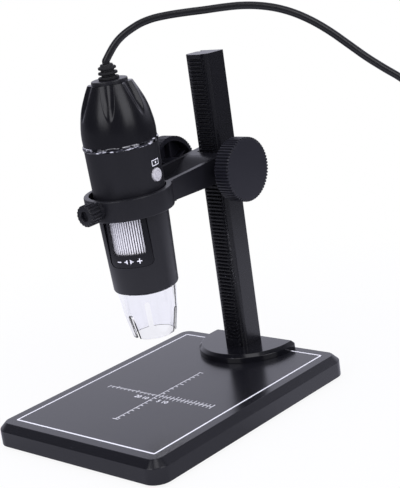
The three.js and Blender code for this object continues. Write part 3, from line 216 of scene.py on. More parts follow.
def rounded_outline(width, depth, radius, steps=8):
    """The outline of a rectangle with round corners."""
    reach_x, reach_y = width / 2 - radius, depth / 2 - radius
    points = []
    for quarter, (side_x, side_y) in enumerate(corner_sides):
        points += arc(side_x * reach_x, side_y * reach_y, radius, quarter, quarter + 1, steps)
    return points


def moved(bm, matrix):
    bmesh.ops.transform(bm, matrix=matrix, verts=bm.verts)
    return bm


def bevelled(bm, edges, width, segments=1, clamp=False):
    bmesh.ops.bevel(bm, geom=edges, offset=width, offset_type="OFFSET", segments=segments, profile=0.5,
                    affect="EDGES", material=-1, clamp_overlap=clamp)
    return bm


def soften(bm, width, segments=2, angle=28):
    """Rounds every edge where two faces meet more sharply than the angle, in degrees."""
    sharp = [e for e in bm.edges if len(e.link_faces) == 2 and e.calc_face_angle() > math.radians(angle)]
    return bevelled(bm, sharp, width, segments, True)


def edges_above(bm, height):
    return [e for e in bm.edges if min(v.co.z for v in e.verts) > height]


def plain_mesh(bm, name="helper"):
    """Moves a bmesh into a mesh."""
    mesh = bpy.data.meshes.new(name)
    bm.to_mesh(mesh)
    bm.free()
    return mesh


def evaluated(thing, *others):
    """The mesh of a helper object with its modifiers. The helpers are removed."""
    depsgraph = bpy.context.evaluated_depsgraph_get()
    bm = bmesh.new()
    bm.from_mesh(bpy.data.meshes.new_from_object(thing.evaluated_get(depsgraph)))
    for helper in (thing, *others):
        bpy.data.objects.remove(helper)
    return bm


def solved(bm, steps):
    """A solid after boolean steps with other solids, each given as (operation, solid)."""
    first = linked("helper", plain_mesh(bm))
    others = []
    for operation, solid in steps:
        other = linked("helper", plain_mesh(solid))
        step = first.modifiers.new("step", "BOOLEAN")
        step.operation = operation
        step.solver = "EXACT"
        step.object = other
        others.append(other)
    return evaluated(first, *others)


def carved(bm, joined=(), cut=()):
    """Joins solids to a first one and cuts others out of it."""
    result = solved(bm, [("UNION", solid) for solid in joined] + [("DIFFERENCE", solid) for solid in cut])
    bmesh.ops.remove_doubles(result, verts=result.verts, dist=MERGE)
    bmesh.ops.dissolve_degenerate(result, edges=result.edges, dist=MERGE)
    return result


def joined_meshes(*meshes):
    """Puts separate solids into one mesh."""
    whole = bmesh.new()
    for bm in meshes:
        mesh = plain_mesh(bm)
        whole.from_mesh(mesh)
        bpy.data.meshes.remove(mesh)
    return whole


def piece(bm, name, material, body, place=row_place, replaces=(), smooth=32):
    """Makes a finished piece of a mesh: its place, its shading, its material and the body that it rides on."""
    mesh = plain_mesh(moved(bm, place), name)
    mesh.shade_smooth()
    mesh.set_sharp_from_angle(angle=math.radians(smooth))
    mesh.materials.append(material)
    thing = linked(name, mesh)
    even = thing.modifiers.new("even_shading", "WEIGHTED_NORMAL")
    even.keep_sharp = True
    even.weight = 80
    if body:
        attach(thing, body)
    if replaces:
        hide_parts(*replaces)
    return thing


# Shader tools

def new_group(name, inputs, outputs):
    """An empty node group. A socket's kind follows from its default value, or from the name Color."""
    group = bpy.data.node_groups.new(name, "ShaderNodeTree")
    for label, value in inputs.items():
        kind = "Float" if isinstance(value, float) else "Vector" if len(value) == 3 else "Color"
        socket = group.interface.new_socket(label, in_out="INPUT", socket_type="NodeSocket" + kind)
        socket.default_value = value
    for label in outputs:
        kind = "Color" if label == "Color" else "Float"
        group.interface.new_socket(label, in_out="OUTPUT", socket_type="NodeSocket" + kind)
    return group, group.nodes.new("NodeGroupInput").outputs


def node(tree, kind, links=(), **settings):
    """Adds a node, sets what is named, and links the inputs that are given as (input, socket or value)."""
    made = tree.nodes.new(kind)
    for name, value in settings.items():
        setattr(made, name, value)
    for name, source in links:
        if isinstance(source, bpy.types.NodeSocket):
            tree.links.new(source, made.inputs[name])
        else:
            made.inputs[name].default_value = source
    return made


def math_node(tree, operation, first, second=0.0, third=0.0):
    links = [(0, first), (1, second), (2, third)]
    return node(tree, "ShaderNodeMath", links, operation=operation).outputs[0]


def vector_node(tree, operation, first, second=(0, 0, 0)):
    made = node(tree, "ShaderNodeVectorMath", [(0, first), (1, second)], operation=operation)
    return made.outputs["Value" if operation in ("LENGTH", "DOT_PRODUCT") else "Vector"]


def ranged(tree, value, low, high, first, last):
    """Takes a value from the range low to high into the range first to last, and no further."""
    links = [("Value", value), (1, low), (2, high), (3, first), (4, last)]
    return node(tree, "ShaderNodeMapRange", links).outputs[0]


def mix_colours(tree, share, first, second, mode="MIX"):
    links = [("Factor", share), (6, first), (7, second)]
    return node(tree, "ShaderNodeMix", links, data_type="RGBA", blend_type=mode).outputs[2]


def mix_values(tree, share, first, second):
    return node(tree, "ShaderNodeMix", [("Factor", share), (2, first), (3, second)], data_type="FLOAT").outputs[0]


def noise(tree, place, scale, detail):
    return node(tree, "ShaderNodeTexNoise", [("Vector", place), ("Scale", scale), ("Detail", detail)]).outputs[0]


def position(tree):
    return node(tree, "ShaderNodeTexCoord").outputs["Object"]


def moulded_surface():
    """Fine moulding grain with slow changes of gloss and tone."""
    inputs = {"Tone": (0.02, 0.02, 0.02, 1), "Gloss": 0.4, "Grain Size": 0.25, "Grain": 0.3, "Mottle": 0.06}
    group, given = new_group("moulded_surface", inputs, ["Color", "Roughness", "Height"])
    place = position(group)
    grain = noise(group, place, math_node(group, "DIVIDE", 1 / MM, given["Grain Size"]), 3.0)
    cloud = math_node(group, "SUBTRACT", noise(group, place, 45.0, 4.0), 0.5)
    change = math_node(group, "MULTIPLY", cloud, given["Mottle"])
    tone = math_node(group, "MULTIPLY_ADD", change, 2.0, 1.0)
    grey = node(group, "ShaderNodeCombineColor", [("Red", tone), ("Green", tone), ("Blue", tone)]).outputs[0]
    colour = mix_colours(group, 1.0, given["Tone"], grey, "MULTIPLY")
    fine = math_node(group, "SUBTRACT", grain, 0.5)
    rough = math_node(group, "MULTIPLY_ADD", fine, 0.08, given["Gloss"])
    rough = math_node(group, "ADD", rough, change)
    height = math_node(group, "MULTIPLY", fine, given["Grain"])
    node(group, "NodeGroupOutput", [("Color", colour), ("Roughness", rough), ("Height", height)])
    return group


def dust_specks():
    """A few pale specks that lie on a surface, as a mask."""
    group, given = new_group("dust_specks", {"Amount": 0.3, "Size": 2.0}, ["Mask"])
    place = position(group)
    size = math_node(group, "DIVIDE", 1 / MM, given["Size"])
    specks = node(group, "ShaderNodeTexVoronoi", [("Vector", place), ("Scale", size)])
    near = ranged(group, specks.outputs["Distance"], 0.03, 0.12, 1.0, 0.0)
    chosen = math_node(group, "GREATER_THAN", noise(group, place, 160.0, 2.0), 0.6)
    mask = math_node(group, "MULTIPLY", near, chosen)
    mask = math_node(group, "MULTIPLY", mask, given["Amount"])
    node(group, "NodeGroupOutput", [("Mask", mask)])
    return group


def brushed_lines():
    """Fine parallel lines round an axis, for turned and rolled metal."""
    inputs = {"Line Size": 0.12, "Stretch": (1, 1, 12)}
    group, given = new_group("brushed_lines", inputs, ["Height", "Roughness"])
    size = math_node(group, "DIVIDE", 1 / MM, given["Line Size"])
    lines = node(group, "ShaderNodeMapping", [("Vector", position(group)), ("Scale", given["Stretch"])])
    height = noise(group, lines.outputs[0], size, 2.0)
    rough = math_node(group, "MULTIPLY_ADD", height, 0.2, 0.2)
    node(group, "NodeGroupOutput", [("Height", height), ("Roughness", rough)])
    return group


moulded_group = moulded_surface()
dust_group = dust_specks()
brushed_group = brushed_lines()
dust_tone = (0.35, 0.35, 0.37, 1)


def new_material(name, **settings):
    """A material with its shader, and the shader's plain values."""
    material = bpy.data.materials.new(name)
    material.use_nodes = True
    shader = material.node_tree.nodes["Principled BSDF"]
    for label, value in settings.items():
        shader.inputs[label.replace("_", " ")].default_value = value
    return material, material.node_tree, shader


def add_bump(tree, shader, height, strength, distance):
    bump = node(tree, "ShaderNodeBump", [("Height", height), ("Strength", strength), ("Distance", distance * MM)])
    tree.links.new(bump.outputs[0], shader.inputs["Normal"])


def moulded(name, tone, gloss, grain_size=0.25, grain=0.3, mottle=0.06, dust=0.0, **settings):
    """Moulded plastic, rubber or paint, by its tone, gloss and grain."""
    material, tree, shader = new_material(name, **settings)
    links = [
        ("Tone", (*tone, 1)), ("Gloss", gloss), ("Grain Size", grain_size), ("Grain", grain), ("Mottle", mottle),
    ]
    surface = node(tree, "ShaderNodeGroup", links, node_tree=moulded_group).outputs
    colour = surface["Color"]
    if dust > 0:
        specks = node(tree, "ShaderNodeGroup", [("Amount", dust)], node_tree=dust_group)
        colour = mix_colours(tree, specks.outputs[0], colour, dust_tone)
    tree.links.new(colour, shader.inputs["Base Color"])
    tree.links.new(surface["Roughness"], shader.inputs["Roughness"])
    add_bump(tree, shader, surface["Height"], 0.5, 0.05)
    return material


satin_black = moulded("satin_black", (0.009, 0.009, 0.0118), 0.36, grain_size=0.3, grain=0.25)
tail_black = moulded("tail_black", (0.0055, 0.0055, 0.0072), 0.24, grain_size=0.3, grain=0.2, Specular_IOR_Level=0.4)
slate = moulded("slate", (0.009, 0.009, 0.0115), 0.22, grain_size=0.5, grain=0.08, mottle=0.03, dust=0.1)
column_paint = moulded("column_paint", (0.006, 0.006, 0.008), 0.28, grain_size=0.8, grain=0.15, mottle=0.05)
gloss_black = moulded("gloss_black", (0.006, 0.006, 0.008), 0.14, grain_size=0.8, grain=0.05, mottle=0.03, dust=0.05)
charcoal = moulded("charcoal", (0.0125, 0.0125, 0.018), 0.38, grain_size=0.2, grain=0.4)
soft_rubber = moulded("soft_rubber", (0.008, 0.008, 0.009), 0.6, grain_size=0.4, grain=0.5, mottle=0.1)
cord_jacket = moulded("cord_jacket", (0.007, 0.007, 0.008), 0.34, grain_size=0.3, grain=0.08)
button_silver = moulded("button_silver", (0.5, 0.49, 0.5), 0.42, grain_size=0.9, grain=1.6, mottle=0.2)
natural_nylon = moulded("natural_nylon", (0.72, 0.7, 0.64), 0.55, grain=0.4)
board_green = moulded("board_green", (0.02, 0.12, 0.05), 0.35, grain_size=1.5, grain=0.3, mottle=0.2)
chip_black = moulded("chip_black", (0.01, 0.01, 0.012), 0.3)
lamp_white = moulded("lamp_white", (0.85, 0.83, 0.74), 0.15, grain=0.05, Coat_Weight=0.5)
print_white = moulded("print_white", (0.86, 0.86, 0.88), 0.5, grain_size=0.15, grain=0.5)


def metal(name, tone, line_size, strength):
    """Brushed metal, by its tone and the fineness and strength of its lines."""
    material, tree, shader = new_material(name, Base_Color=(*tone, 1), Metallic=1.0)
    lines = node(tree, "ShaderNodeGroup", [("Line Size", line_size)], node_tree=brushed_group).outputs
    tree.links.new(lines["Roughness"], shader.inputs["Roughness"])
    add_bump(tree, shader, lines["Height"], strength, 0.02)
    return material


def ribbed_silver(name, tone, groove_painted_shade, middle, axis, low, high):
    """Silver plastic with painted shade in its grooves: the colour darkens from one radius to a smaller one round a
    tilted axis.
    """
    material, tree, shader = new_material(name, Roughness=0.35)
    across = vector_node(tree, "CROSS_PRODUCT", vector_node(tree, "SUBTRACT", position(tree), middle), axis)
    # Painted shade: the colour goes dark towards the groove floors, where their depth shades them.
    unshaded_share = ranged(tree, vector_node(tree, "LENGTH", across), low * MM, high * MM, 0.0, 1.0)
    colour = mix_colours(tree, unshaded_share, (*groove_painted_shade, 1), (*tone, 1))
    tree.links.new(colour, shader.inputs["Base Color"])
    surface = node(tree, "ShaderNodeGroup", node_tree=moulded_group)
    add_bump(tree, shader, surface.outputs["Height"], 0.3, 0.03)
    return material


plain_steel = metal("plain_steel", (0.5, 0.5, 0.52), 0.15, 0.3)
contact_gold = metal("contact_gold", (0.85, 0.6, 0.27), 0.15, 0.2)


def chrome_plate():
    """Dark bright plating whose colour holds painted light and dark dashes, a painted reflection of broken
    highlights on a thin rolled ring; the same noise gives the ring a real waviness in its bump.
    """
    material, tree, shader = new_material("chrome_plate", Metallic=1.0, Roughness=0.06)
    flat = node(tree, "ShaderNodeMapping", [("Vector", position(tree)), ("Scale", (1, 1, 2.6))])
    waves_and_glint_noise = noise(tree, flat.outputs[0], 380.0, 1.5)
    # Painted reflection: light and dark dashes in the base colour stand for broken highlights on the plating.
    painted_glints = ranged(tree, waves_and_glint_noise, 0.5, 0.57, 0.0, 1.0)
    tone = mix_colours(tree, painted_glints, (0.06, 0.06, 0.07, 1), (0.97, 0.97, 1, 1))
    tree.links.new(tone, shader.inputs["Base Color"])
    add_bump(tree, shader, waves_and_glint_noise, 0.6, 0.35)
    return material


def clear_material(name, tint, gloss, ior, flow_scale, detail, strength, distance):
    """Clear plastic or glass with a faint tint and soft flow marks."""
    settings = {"Base_Color": (*tint, 1), "Roughness": gloss, "IOR": ior, "Transmission_Weight": 1.0}
    material, tree, shader = new_material(name, **settings)
    add_bump(tree, shader, noise(tree, position(tree), flow_scale, detail), strength, distance)
    return material


scope_axis = (scope_place.to_3x3() @ Vector((0, 0, 1))).normalized()
# Radii between which the drum's painted groove shade fades into the silver.
groove_shade_radii = 12.0, 12.8
silver_plastic = ribbed_silver(
    "silver_plastic", (0.86, 0.85, 0.86), (0.1, 0.1, 0.11), scope_place.translation, scope_axis, *groove_shade_radii)
chrome = chrome_plate()
clear = clear_material("clear_plastic", (0.93, 0.93, 0.98), 0.03, 1.46, 90.0, 2.0, 0.15, 0.3)
lens = clear_material("lens_glass", (0.9, 0.94, 1), 0.01, 1.52, 400.0, 1.0, 0.03, 0.05)


# Cord first

def smooth_line(points, steps=6):
    """A centripetal curve through the points, in short straight steps."""
    ends = [2 * points[0] - points[1], *points, 2 * points[-1] - points[-2]]
    line = []
    for a, b, c, d in zip(ends, ends[1:], ends[2:], ends[3:]):
        t0 = 0
        t1 = t0 + math.sqrt((b - a).length)
        t2 = t1 + math.sqrt((c - b).length)
        t3 = t2 + math.sqrt((d - c).length)
        for i in range(steps):
            t = t1 + (t2 - t1) * i / steps
            ab = a.lerp(b, (t - t0) / (t1 - t0))
            bc = b.lerp(c, (t - t1) / (t2 - t1))
            cd = c.lerp(d, (t - t2) / (t3 - t2))
            first, second = ab.lerp(bc, (t - t0) / (t2 - t0)), bc.lerp(cd, (t - t1) / (t3 - t1))
            line.append(first.lerp(second, (t - t1) / (t2 - t1)))
    return [*line, points[-1].copy()]


def coil_point(turns):
    """A point of the coil's centre line: it spirals in and out and climbs a layer where it reverses."""
    outer = coil_inner + coil_turns_per_layer * coil_turn_pitch
    sweep = turns / coil_turns_per_layer
    layer = min(int(sweep), coil_layers - 1)
    along = sweep - layer
    inward = 1 - along if layer % 2 == 0 else along
    radius = coil_inner + inward * (outer - coil_inner)
    nearest = min(max(round(sweep), 1), coil_layers - 1)
    climb = min(max((turns - nearest * coil_turns_per_layer) * 2 + 0.5, 0), 1)
    height = coil_lift + cord_diameter / 2 + (nearest - 1 + climb) * coil_layer_pitch
    angle = coil_start_turn - turns * FULL_TURN
    return Vector((coil_centre[0] + radius * math.cos(angle), coil_centre[1] + radius * math.sin(angle), height))


cord_route = [
    (0.5, -9.4, 162.5), (1.2, -8.7, 163.9), (2.1, -7.8, 165.6), (3.2, -6.8, 167.4), (4.6, -5.5, 169.3),
    (6.6, -3.7, 171.3), (9.2, -1.4, 173.2), (12.3, 1.5, 175.0), (16.1, 5.1, 176.2), (20.7, 9.4, 176.7),
    (26.5, 14.9, 176.8), (32.0, 20.0, 176.7), (37.5, 25.2, 176.7), (43.0, 30.3, 176.4), (48.4, 35.4, 175.3),
    (53.7, 40.4, 173.3), (58.9, 45.3, 170.2), (64.1, 50.1, 165.9), (69.2, 54.9, 160.5), (74.2, 59.6, 154.3),
    (79.3, 64.4, 147.9), (84.4, 69.2, 142.2), (88.9, 73.5, 137.4), (93.3, 77.6, 131.8), (97.3, 81.3, 124.5),
    (100.6, 84.4, 114.8), (102.9, 86.6, 103.0), (104.4, 87.9, 89.5), (105.3, 88.8, 74.5), (105.8, 89.2, 58.5),
    (106.1, 89.6, 43.0), (106.9, 90.3, 30.0), (109.1, 92.3, 18.4), (113.0, 96.0, 9.6), (117.4, 100.1, 4.6),
]
lead_falls = [(0.8, 0), (1.6, 0.12), (2.4, 0.34), (3.2, 0.62), (4, 0.85), (4.8, 0.97), (5.6, 1)]
coil_end_straight = 3.4
plug_thickness, plug_lift = 7.6, 0.15


def cord_line():
    """The whole cord's centre line in millimetres: the free stretch, the coil and the lead to the plug."""
    to_row = row_place.inverted() @ scope_straight
    starts = [to_row @ Vector((0, 0, relief_top + rise)) for rise in (0, seat_gap, seat_gap + cord_diameter / 4)]
    turns = coil_layers * coil_turns_per_layer
    steps = round(turns * coil_steps_per_turn)
    wound = [coil_point(i * turns / steps) for i in range(steps + 1)]
    first_way = (wound[0] - wound[1]).xy.normalized().to_3d()
    start = wound[0] + first_way * coil_end_straight
    way = (wound[0] - start).normalized()
    before = start - way * (seat_gap + coil_end_straight)
    last_way = (wound[-1] - wound[-2]).xy.normalized().to_3d()
    drop = wound[-1].z - plug_thickness / 2 - plug_lift
    lead = [wound[-1] + last_way * reach * 2 * cord_diameter - Vector((0, 0, fall * drop))
            for reach, fall in lead_falls]
    end = lead[-1] + last_way * (coil_end_straight + seat_gap)
    free = smooth_line([*starts, *map(Vector, cord_route), before, start - way * seat_gap], 5)
    return [*free, start, *wound, *lead, end], last_way


def cord_tube(points):
    """A round tube along the line, as a mesh."""
    curve = bpy.data.curves.new("helper", "CURVE")
    curve.dimensions = "3D"
    spline = curve.splines.new("POLY")
    spline.points.add(len(points) - 1)
    for slot, point in zip(spline.points, points):
        slot.co = (*point, 1)
    curve.bevel_depth = cord_diameter / 2
    curve.bevel_resolution = 6
    curve.use_fill_caps = True
    bm = evaluated(linked("helper", curve))
    bmesh.ops.remove_doubles(bm, verts=bm.verts, dist=FINE_MERGE)
    bmesh.ops.recalc_face_normals(bm, faces=bm.faces)
    return bm


cord_points, plug_way = cord_line()
cord = piece(cord_tube(cord_points), "cord", cord_jacket, None, replaces=("usb_cord", "cord_coil"), smooth=60)


# The coil's tie and the plug

tie_strap, tie_width, tie_corner = 0.5, 4, 2
hole_places, hole_radius, stud_place = (-3.4, 0), 0.6, 3.2
neck_length, neck_radius, grip_length, grip_corner = 9, 3, 24, 2.2
grip_grooves, groove_half_width, groove_low, groove_high = (16, 18.2, 20.4, 22.6, 24.8), 0.45, 3.4, 4.4
case_width, case_thickness, case_wall, case_length = 12, 4.5, 0.3, 12
catch_places, catch_half_width, catch_length, catch_from_end = (-2.5, 2.5), 1.15, 2, 4.6
tongue_thickness = 1.6
contact_rows = [(-3.5, 7.9), (-1, 6.9), (1, 6.9), (3.5, 7.9)]
case_low = neck_length + grip_length + 0.1
tongue_top = case_thickness / 2 - case_wall - 0.1


def tie_body():
    """A rubber strap round the turns, with its holed end lapped over the top and held by a stud."""
    width = coil_turns_per_layer * coil_turn_pitch + cord_diameter + 2 * seat_gap
    height = (coil_layers - 1) * coil_layer_pitch + cord_diameter + 2 * seat_gap
    outer = rounded_outline(width + 2 * tie_strap, height + 2 * tie_strap, tie_corner)
    inner = rounded_outline(width, height, tie_corner - tie_strap)
    half = tie_width / 2
    strap = carved(prism(outer, -half, half), cut=[prism(inner, -half - 1, half + 1)])
    top = height / 2 + tie_strap
    lap = block((-width * 0.36, top + 0.02, -half), (width * 0.36, top + 0.6, half))
    end = [e for e in lap.edges if abs(e.verts[0].co.y - e.verts[1].co.y) > 0.1 and e.verts[0].co.x > 0]
    bevelled(lap, end, half * 0.9, 6)
    across = turned(-QUARTER_TURN, "X")
    holes = [moved(rod(hole_radius, top - 1, top + 2, 20), shift(x, 0, 0) @ across) for x in hole_places]
    lap = carved(lap, cut=holes)
    profile = [(0, top), (0.55, top), (0.55, top + 0.75), (0.95, top + 0.8), (0.9, top + 1.1), (0, top + 1.25)]
    stud = moved(lathe(profile, 24), shift(stud_place, 0, 0) @ across)
    return joined_meshes(soften(strap, 0.14), soften(lap, 0.12), stud)


def plug_grip():
    """The moulded grip: a waisted body with finger grooves on both broad faces, and a ringed neck."""
    sections = [
        (9, 10.5, 5.4), (9.5, 12.6, 6.6), (10.4, 14.2, 7.3), (12, 15.2, 7.6), (15, 15.2, 7.6), (19, 14.8, 7.6),
        (24, 14.8, 7.6), (28, 15.2, 7.6), (31, 15.6, 7.6), (32.3, 15.6, 7.6), (32.8, 15.2, 7.3), (33, 14.6, 6.8),
    ]
    bm = bmesh.new()
    low, width, thickness = sections[0]
    face = bm.faces.new([bm.verts.new((x, y, low)) for x, y in rounded_outline(width, thickness, grip_corner)])
    keep = True
    for height, next_width, next_thickness in sections[1:]:
        (face, *_), verts = extruded(bm, [face], keep)
        bmesh.ops.scale(bm, vec=(next_width / width, next_thickness / thickness, 1), verts=verts)
        bmesh.ops.translate(bm, vec=(0, 0, height - low), verts=verts)
        low, width, thickness, keep = height, next_width, next_thickness, False
    bmesh.ops.recalc_face_normals(bm, faces=bm.faces)
    grooves = [block((-4.6, near, at - groove_half_width), (4.6, far, at + groove_half_width))
               for near, far in ((-groove_high, -groove_low), (groove_low, groove_high)) for at in grip_grooves]
    bm = soften(carved(bm, cut=grooves), 0.1, 1)
    rings = [(0, 0), (neck_radius - 0.9, 0)]
    for i in range(4):
        low = 0.2 + i * 2.1
        rings += [(neck_radius - 0.25 + i * 0.08, low), (neck_radius - 0.1 + i * 0.03, low + 1.3),
                  (neck_radius - 0.9, low + 1.4), (neck_radius - 0.9, low + 2.0)]
    rings += [(neck_radius, neck_length - 0.3), (neck_radius, neck_length + 1), (0, neck_length + 1)]
    return joined_meshes(bm, lathe(rings, 40))


def plug_case():
    """The folded steel shell, with its catch holes and the seam underneath."""
    high = case_low + case_length
    outer = prism(rounded_outline(case_width, case_thickness, 0.4, 4), case_low, high)
    inside = rounded_outline(case_width - 2 * case_wall, case_thickness - 2 * case_wall, 0.2, 4)
    cuts = [prism(inside, case_low + case_wall, high + 1)]
    for x in catch_places:
        low = high - catch_from_end - catch_length
        cuts.append(block((x - catch_half_width, -4, low), (x + catch_half_width, 4, high - catch_from_end)))
    cuts.append(block((-0.06, -4, case_low + 1), (0.06, -1, high + 1)))
    return soften(carved(outer, cut=cuts), 0.06, 1)


def plug_insert():
    """The nylon tongue, with a sloped front edge."""
    half = case_width / 2 - case_wall - 0.3
    low = case_low + case_wall
    bm = block((-half, tongue_top - tongue_thickness, low), (half, tongue_top, low + case_length * 3 / 4))
    return bevelled(bm, edges_above(bm, low + 1), 0.35, 2)


def plug_contacts():
    """Four flat contacts on the tongue, the outer two longer."""
    under = tongue_top - tongue_thickness
    low = case_low + 0.7
    bars = [block((x - 0.5, under - 0.08, low), (x + 0.5, under + 0.02, low + long)) for x, long in contact_rows]
    return joined_meshes(*[soften(b, 0.03, 1) for b in bars])


tie_middle = (coil_inner + coil_turns_per_layer * coil_turn_pitch / 2, 0,
              coil_lift + cord_diameter / 2 + (coil_layers - 1) * coil_layer_pitch / 2)
tie_turn = turned(math.radians(-60), "Z")
tie_place = row_place @ shift(*coil_centre, 0) @ tie_turn @ (shift(*tie_middle) @ turned(QUARTER_TURN, "X"))
plug_up = Vector((0, 0, 1))
plug_axes = Matrix((plug_up.cross(plug_way), plug_up, plug_way)).transposed().to_4x4()
plug_place = row_place @ Matrix.Translation(cord_points[-1]) @ plug_axes
tie = piece(tie_body(), "cord_tie", soft_rubber, "stand", tie_place, replaces=("coil_tie",))
grip = piece(plug_grip(), "plug_grip", soft_rubber, "stand", plug_place, replaces=("plug_body",))
case = piece(plug_case(), "plug_case", plain_steel, "stand", plug_place, replaces=("plug_shell",))
insert = piece(plug_insert(), "plug_insert", natural_nylon, "stand", plug_place, replaces=("plug_tongue",))
contacts = piece(plug_contacts(), "plug_contacts", contact_gold, "stand", plug_place)


# Base, column foot and column

def base_body():
    """The base: round corners, a flat chamfer round the top and a shallow hollow underneath."""
    bm = block((-base_width / 2, -base_depth / 2, base_underside), (base_width / 2, base_depth / 2, base_top))
    upright = [e for e in bm.edges if abs(e.verts[0].co.z - e.verts[1].co.z) > 1]
    bevelled(bm, upright, base_corner, 14)
    bevelled(bm, edges_above(bm, base_top - 0.001), base_chamfer)
    under = [f for f in bm.faces if f.calc_center_median().z < base_underside + 0.001]
    bmesh.ops.inset_region(bm, faces=under, thickness=base_wall, use_even_offset=True)
    bmesh.ops.translate(bm, vec=(0, 0, cavity_top - base_underside), verts=extruded(bm, under)[1])
    bmesh.ops.delete(bm, geom=under, context="FACES_ONLY")
    bmesh.ops.recalc_face_normals(bm, faces=bm.faces)
    return soften(bm, 0.25)


def foot_plate():
    """The plate under the column, round in front and straight at the back."""
    corner_x, corner_y = plate_radius - plate_corner, plate_back_y - plate_corner
    outline = [
        *arc(0, plate_middle_y, plate_radius, 2, 4, 64),
        *arc(corner_x, corner_y, plate_corner, 0, 1, 8),
        *arc(-corner_x, corner_y, plate_corner, 1, 2, 8),
    ]
    bm = prism(outline, base_top + 0.02, plate_top)
    bmesh.ops.remove_doubles(bm, verts=bm.verts, dist=0.001)
    return soften(bevelled(bm, edges_above(bm, plate_top - 0.001), plate_edge), 0.2, 2, 40)


def cad_copy(name):
    """A copy of a CAD node's mesh in millimetres, merged, with its flat faces whole again."""
    bm = bmesh.new()
    bm.from_mesh(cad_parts[name].data)
    moved(bm, row_place.inverted())
    bmesh.ops.remove_doubles(bm, verts=bm.verts, dist=MERGE)
    bmesh.ops.dissolve_limit(bm, angle_limit=math.radians(0.5), verts=bm.verts, edges=bm.edges)
    return bm


piece(base_body(), "base", slate, "stand", replaces=("base_shell",))
piece(foot_plate(), "foot_plate", gloss_black, "stand", replaces=("column_foot",))
column = soften(cad_copy("rack_column"), 0.12, 2, 35)
piece(column, "column", column_paint, "stand", replaces=("rack_column",))
for index, (side_x, side_y) in enumerate(corner_sides, 1):
    foot = soften(rod(foot_radius, 0, foot_height, 48), 0.5, 3)
    moved(foot, shift(side_x * foot_reach_x, side_y * foot_reach_y, 0))
    piece(foot, f"foot_{index}", soft_rubber, "stand", replaces=(f"rubber_foot_{index}",))


# Print on the base

print_height = 0.02
frame_width, frame_depth, frame_line = 84.9, 115.2, 0.85
cross_x, cross_y = 0.7, -10.5
cross_left, cross_right, cross_low, cross_high = -30.5, 32.1, -27.4, 29
left_pitch, right_pitch, upright_pitch = 2.54, 2.14, 2.9
figure_size = 3.5
figure_places = [("20 10", -5.4, -14.9), ("5 10", 7.6, -15.2)]


def bar(x0, y0, x1, y1, width):
    """One straight printed line, measured from the middle of the cross."""
    way = Vector((x1 - x0, y1 - y0))
    middle = shift(cross_x + (x0 + x1) / 2, cross_y + (y0 + y1) / 2, base_top)
    line = block((-way.length / 2, -width / 2, 0), (way.length / 2, width / 2, print_height))
    return moved(line, middle @ turned(math.atan2(way.y, way.x), "Z"))


def figures(words):
    """Plain printed figures, lying flat with their middle at the origin."""
    curve = bpy.data.curves.new("helper", "FONT")
    curve.body = words
    curve.size = figure_size
    curve.align_x = "CENTER"
    curve.align_y = "CENTER"
    curve.extrude = print_height / 2
    curve.offset = 0.05
    curve.resolution_u = 3
    bm = evaluated(linked("helper", curve))
    bmesh.ops.remove_doubles(bm, verts=bm.verts, dist=0.0001)
    return moved(bm, shift(0, 0, print_height / 2))


def print_frame():
    """The printed rectangle near the base's edge."""
    outer = prism(rounded_outline(frame_width, frame_depth, 0.8), base_top, base_top + print_height)
    inside = rounded_outline(frame_width - 2 * frame_line, frame_depth - 2 * frame_line, 0.5)
    return carved(outer, cut=[prism(inside, base_top - 1, base_top + 1)])


def print_cross():
    """Two crossed scales: even marks on three arms, close marks on the fourth, and plain figures."""
    lines = [(cross_left, 0, cross_right, 0, 0.3), (0, cross_low, 0, cross_high, 0.38)]
    for i in range(1, 12):
        x = -left_pitch * i
        lines.append((x, -1.3, x, 1.3 if i % 5 == 0 else 0.5, 0.36))
    for i in range(1, 15):
        x, long = right_pitch * i, 2.4 if i % 5 == 0 else 1.8
        lines.append((x, -long, x, long, 0.32))
    for i in range(1, 10):
        for y in (upright_pitch * i, -upright_pitch * i):
            lines.append((-0.4, y, 2.4 if i % 5 == 0 else 1.7, y, 0.4))
    lines.append((cross_left, -1.9, cross_left, 0.6, 0.35))
    lines.append((cross_right, -2.1, cross_right, 2.1, 0.35))
    lines.append((-1.6, cross_low, 1.8, cross_low, 0.35))
    lines.append((-0.6, cross_high, 1.8, cross_high, 0.35))
    bars = [bar(*line) for line in lines]
    bars += [moved(figures(words), shift(x, y, base_top)) for words, x, y in figure_places]
    return joined_meshes(*bars)


piece(print_frame(), "print_frame", print_white, "stand")
piece(print_cross(), "print_scales", print_white, "stand")


# Carriage: sleeve, arm and ring

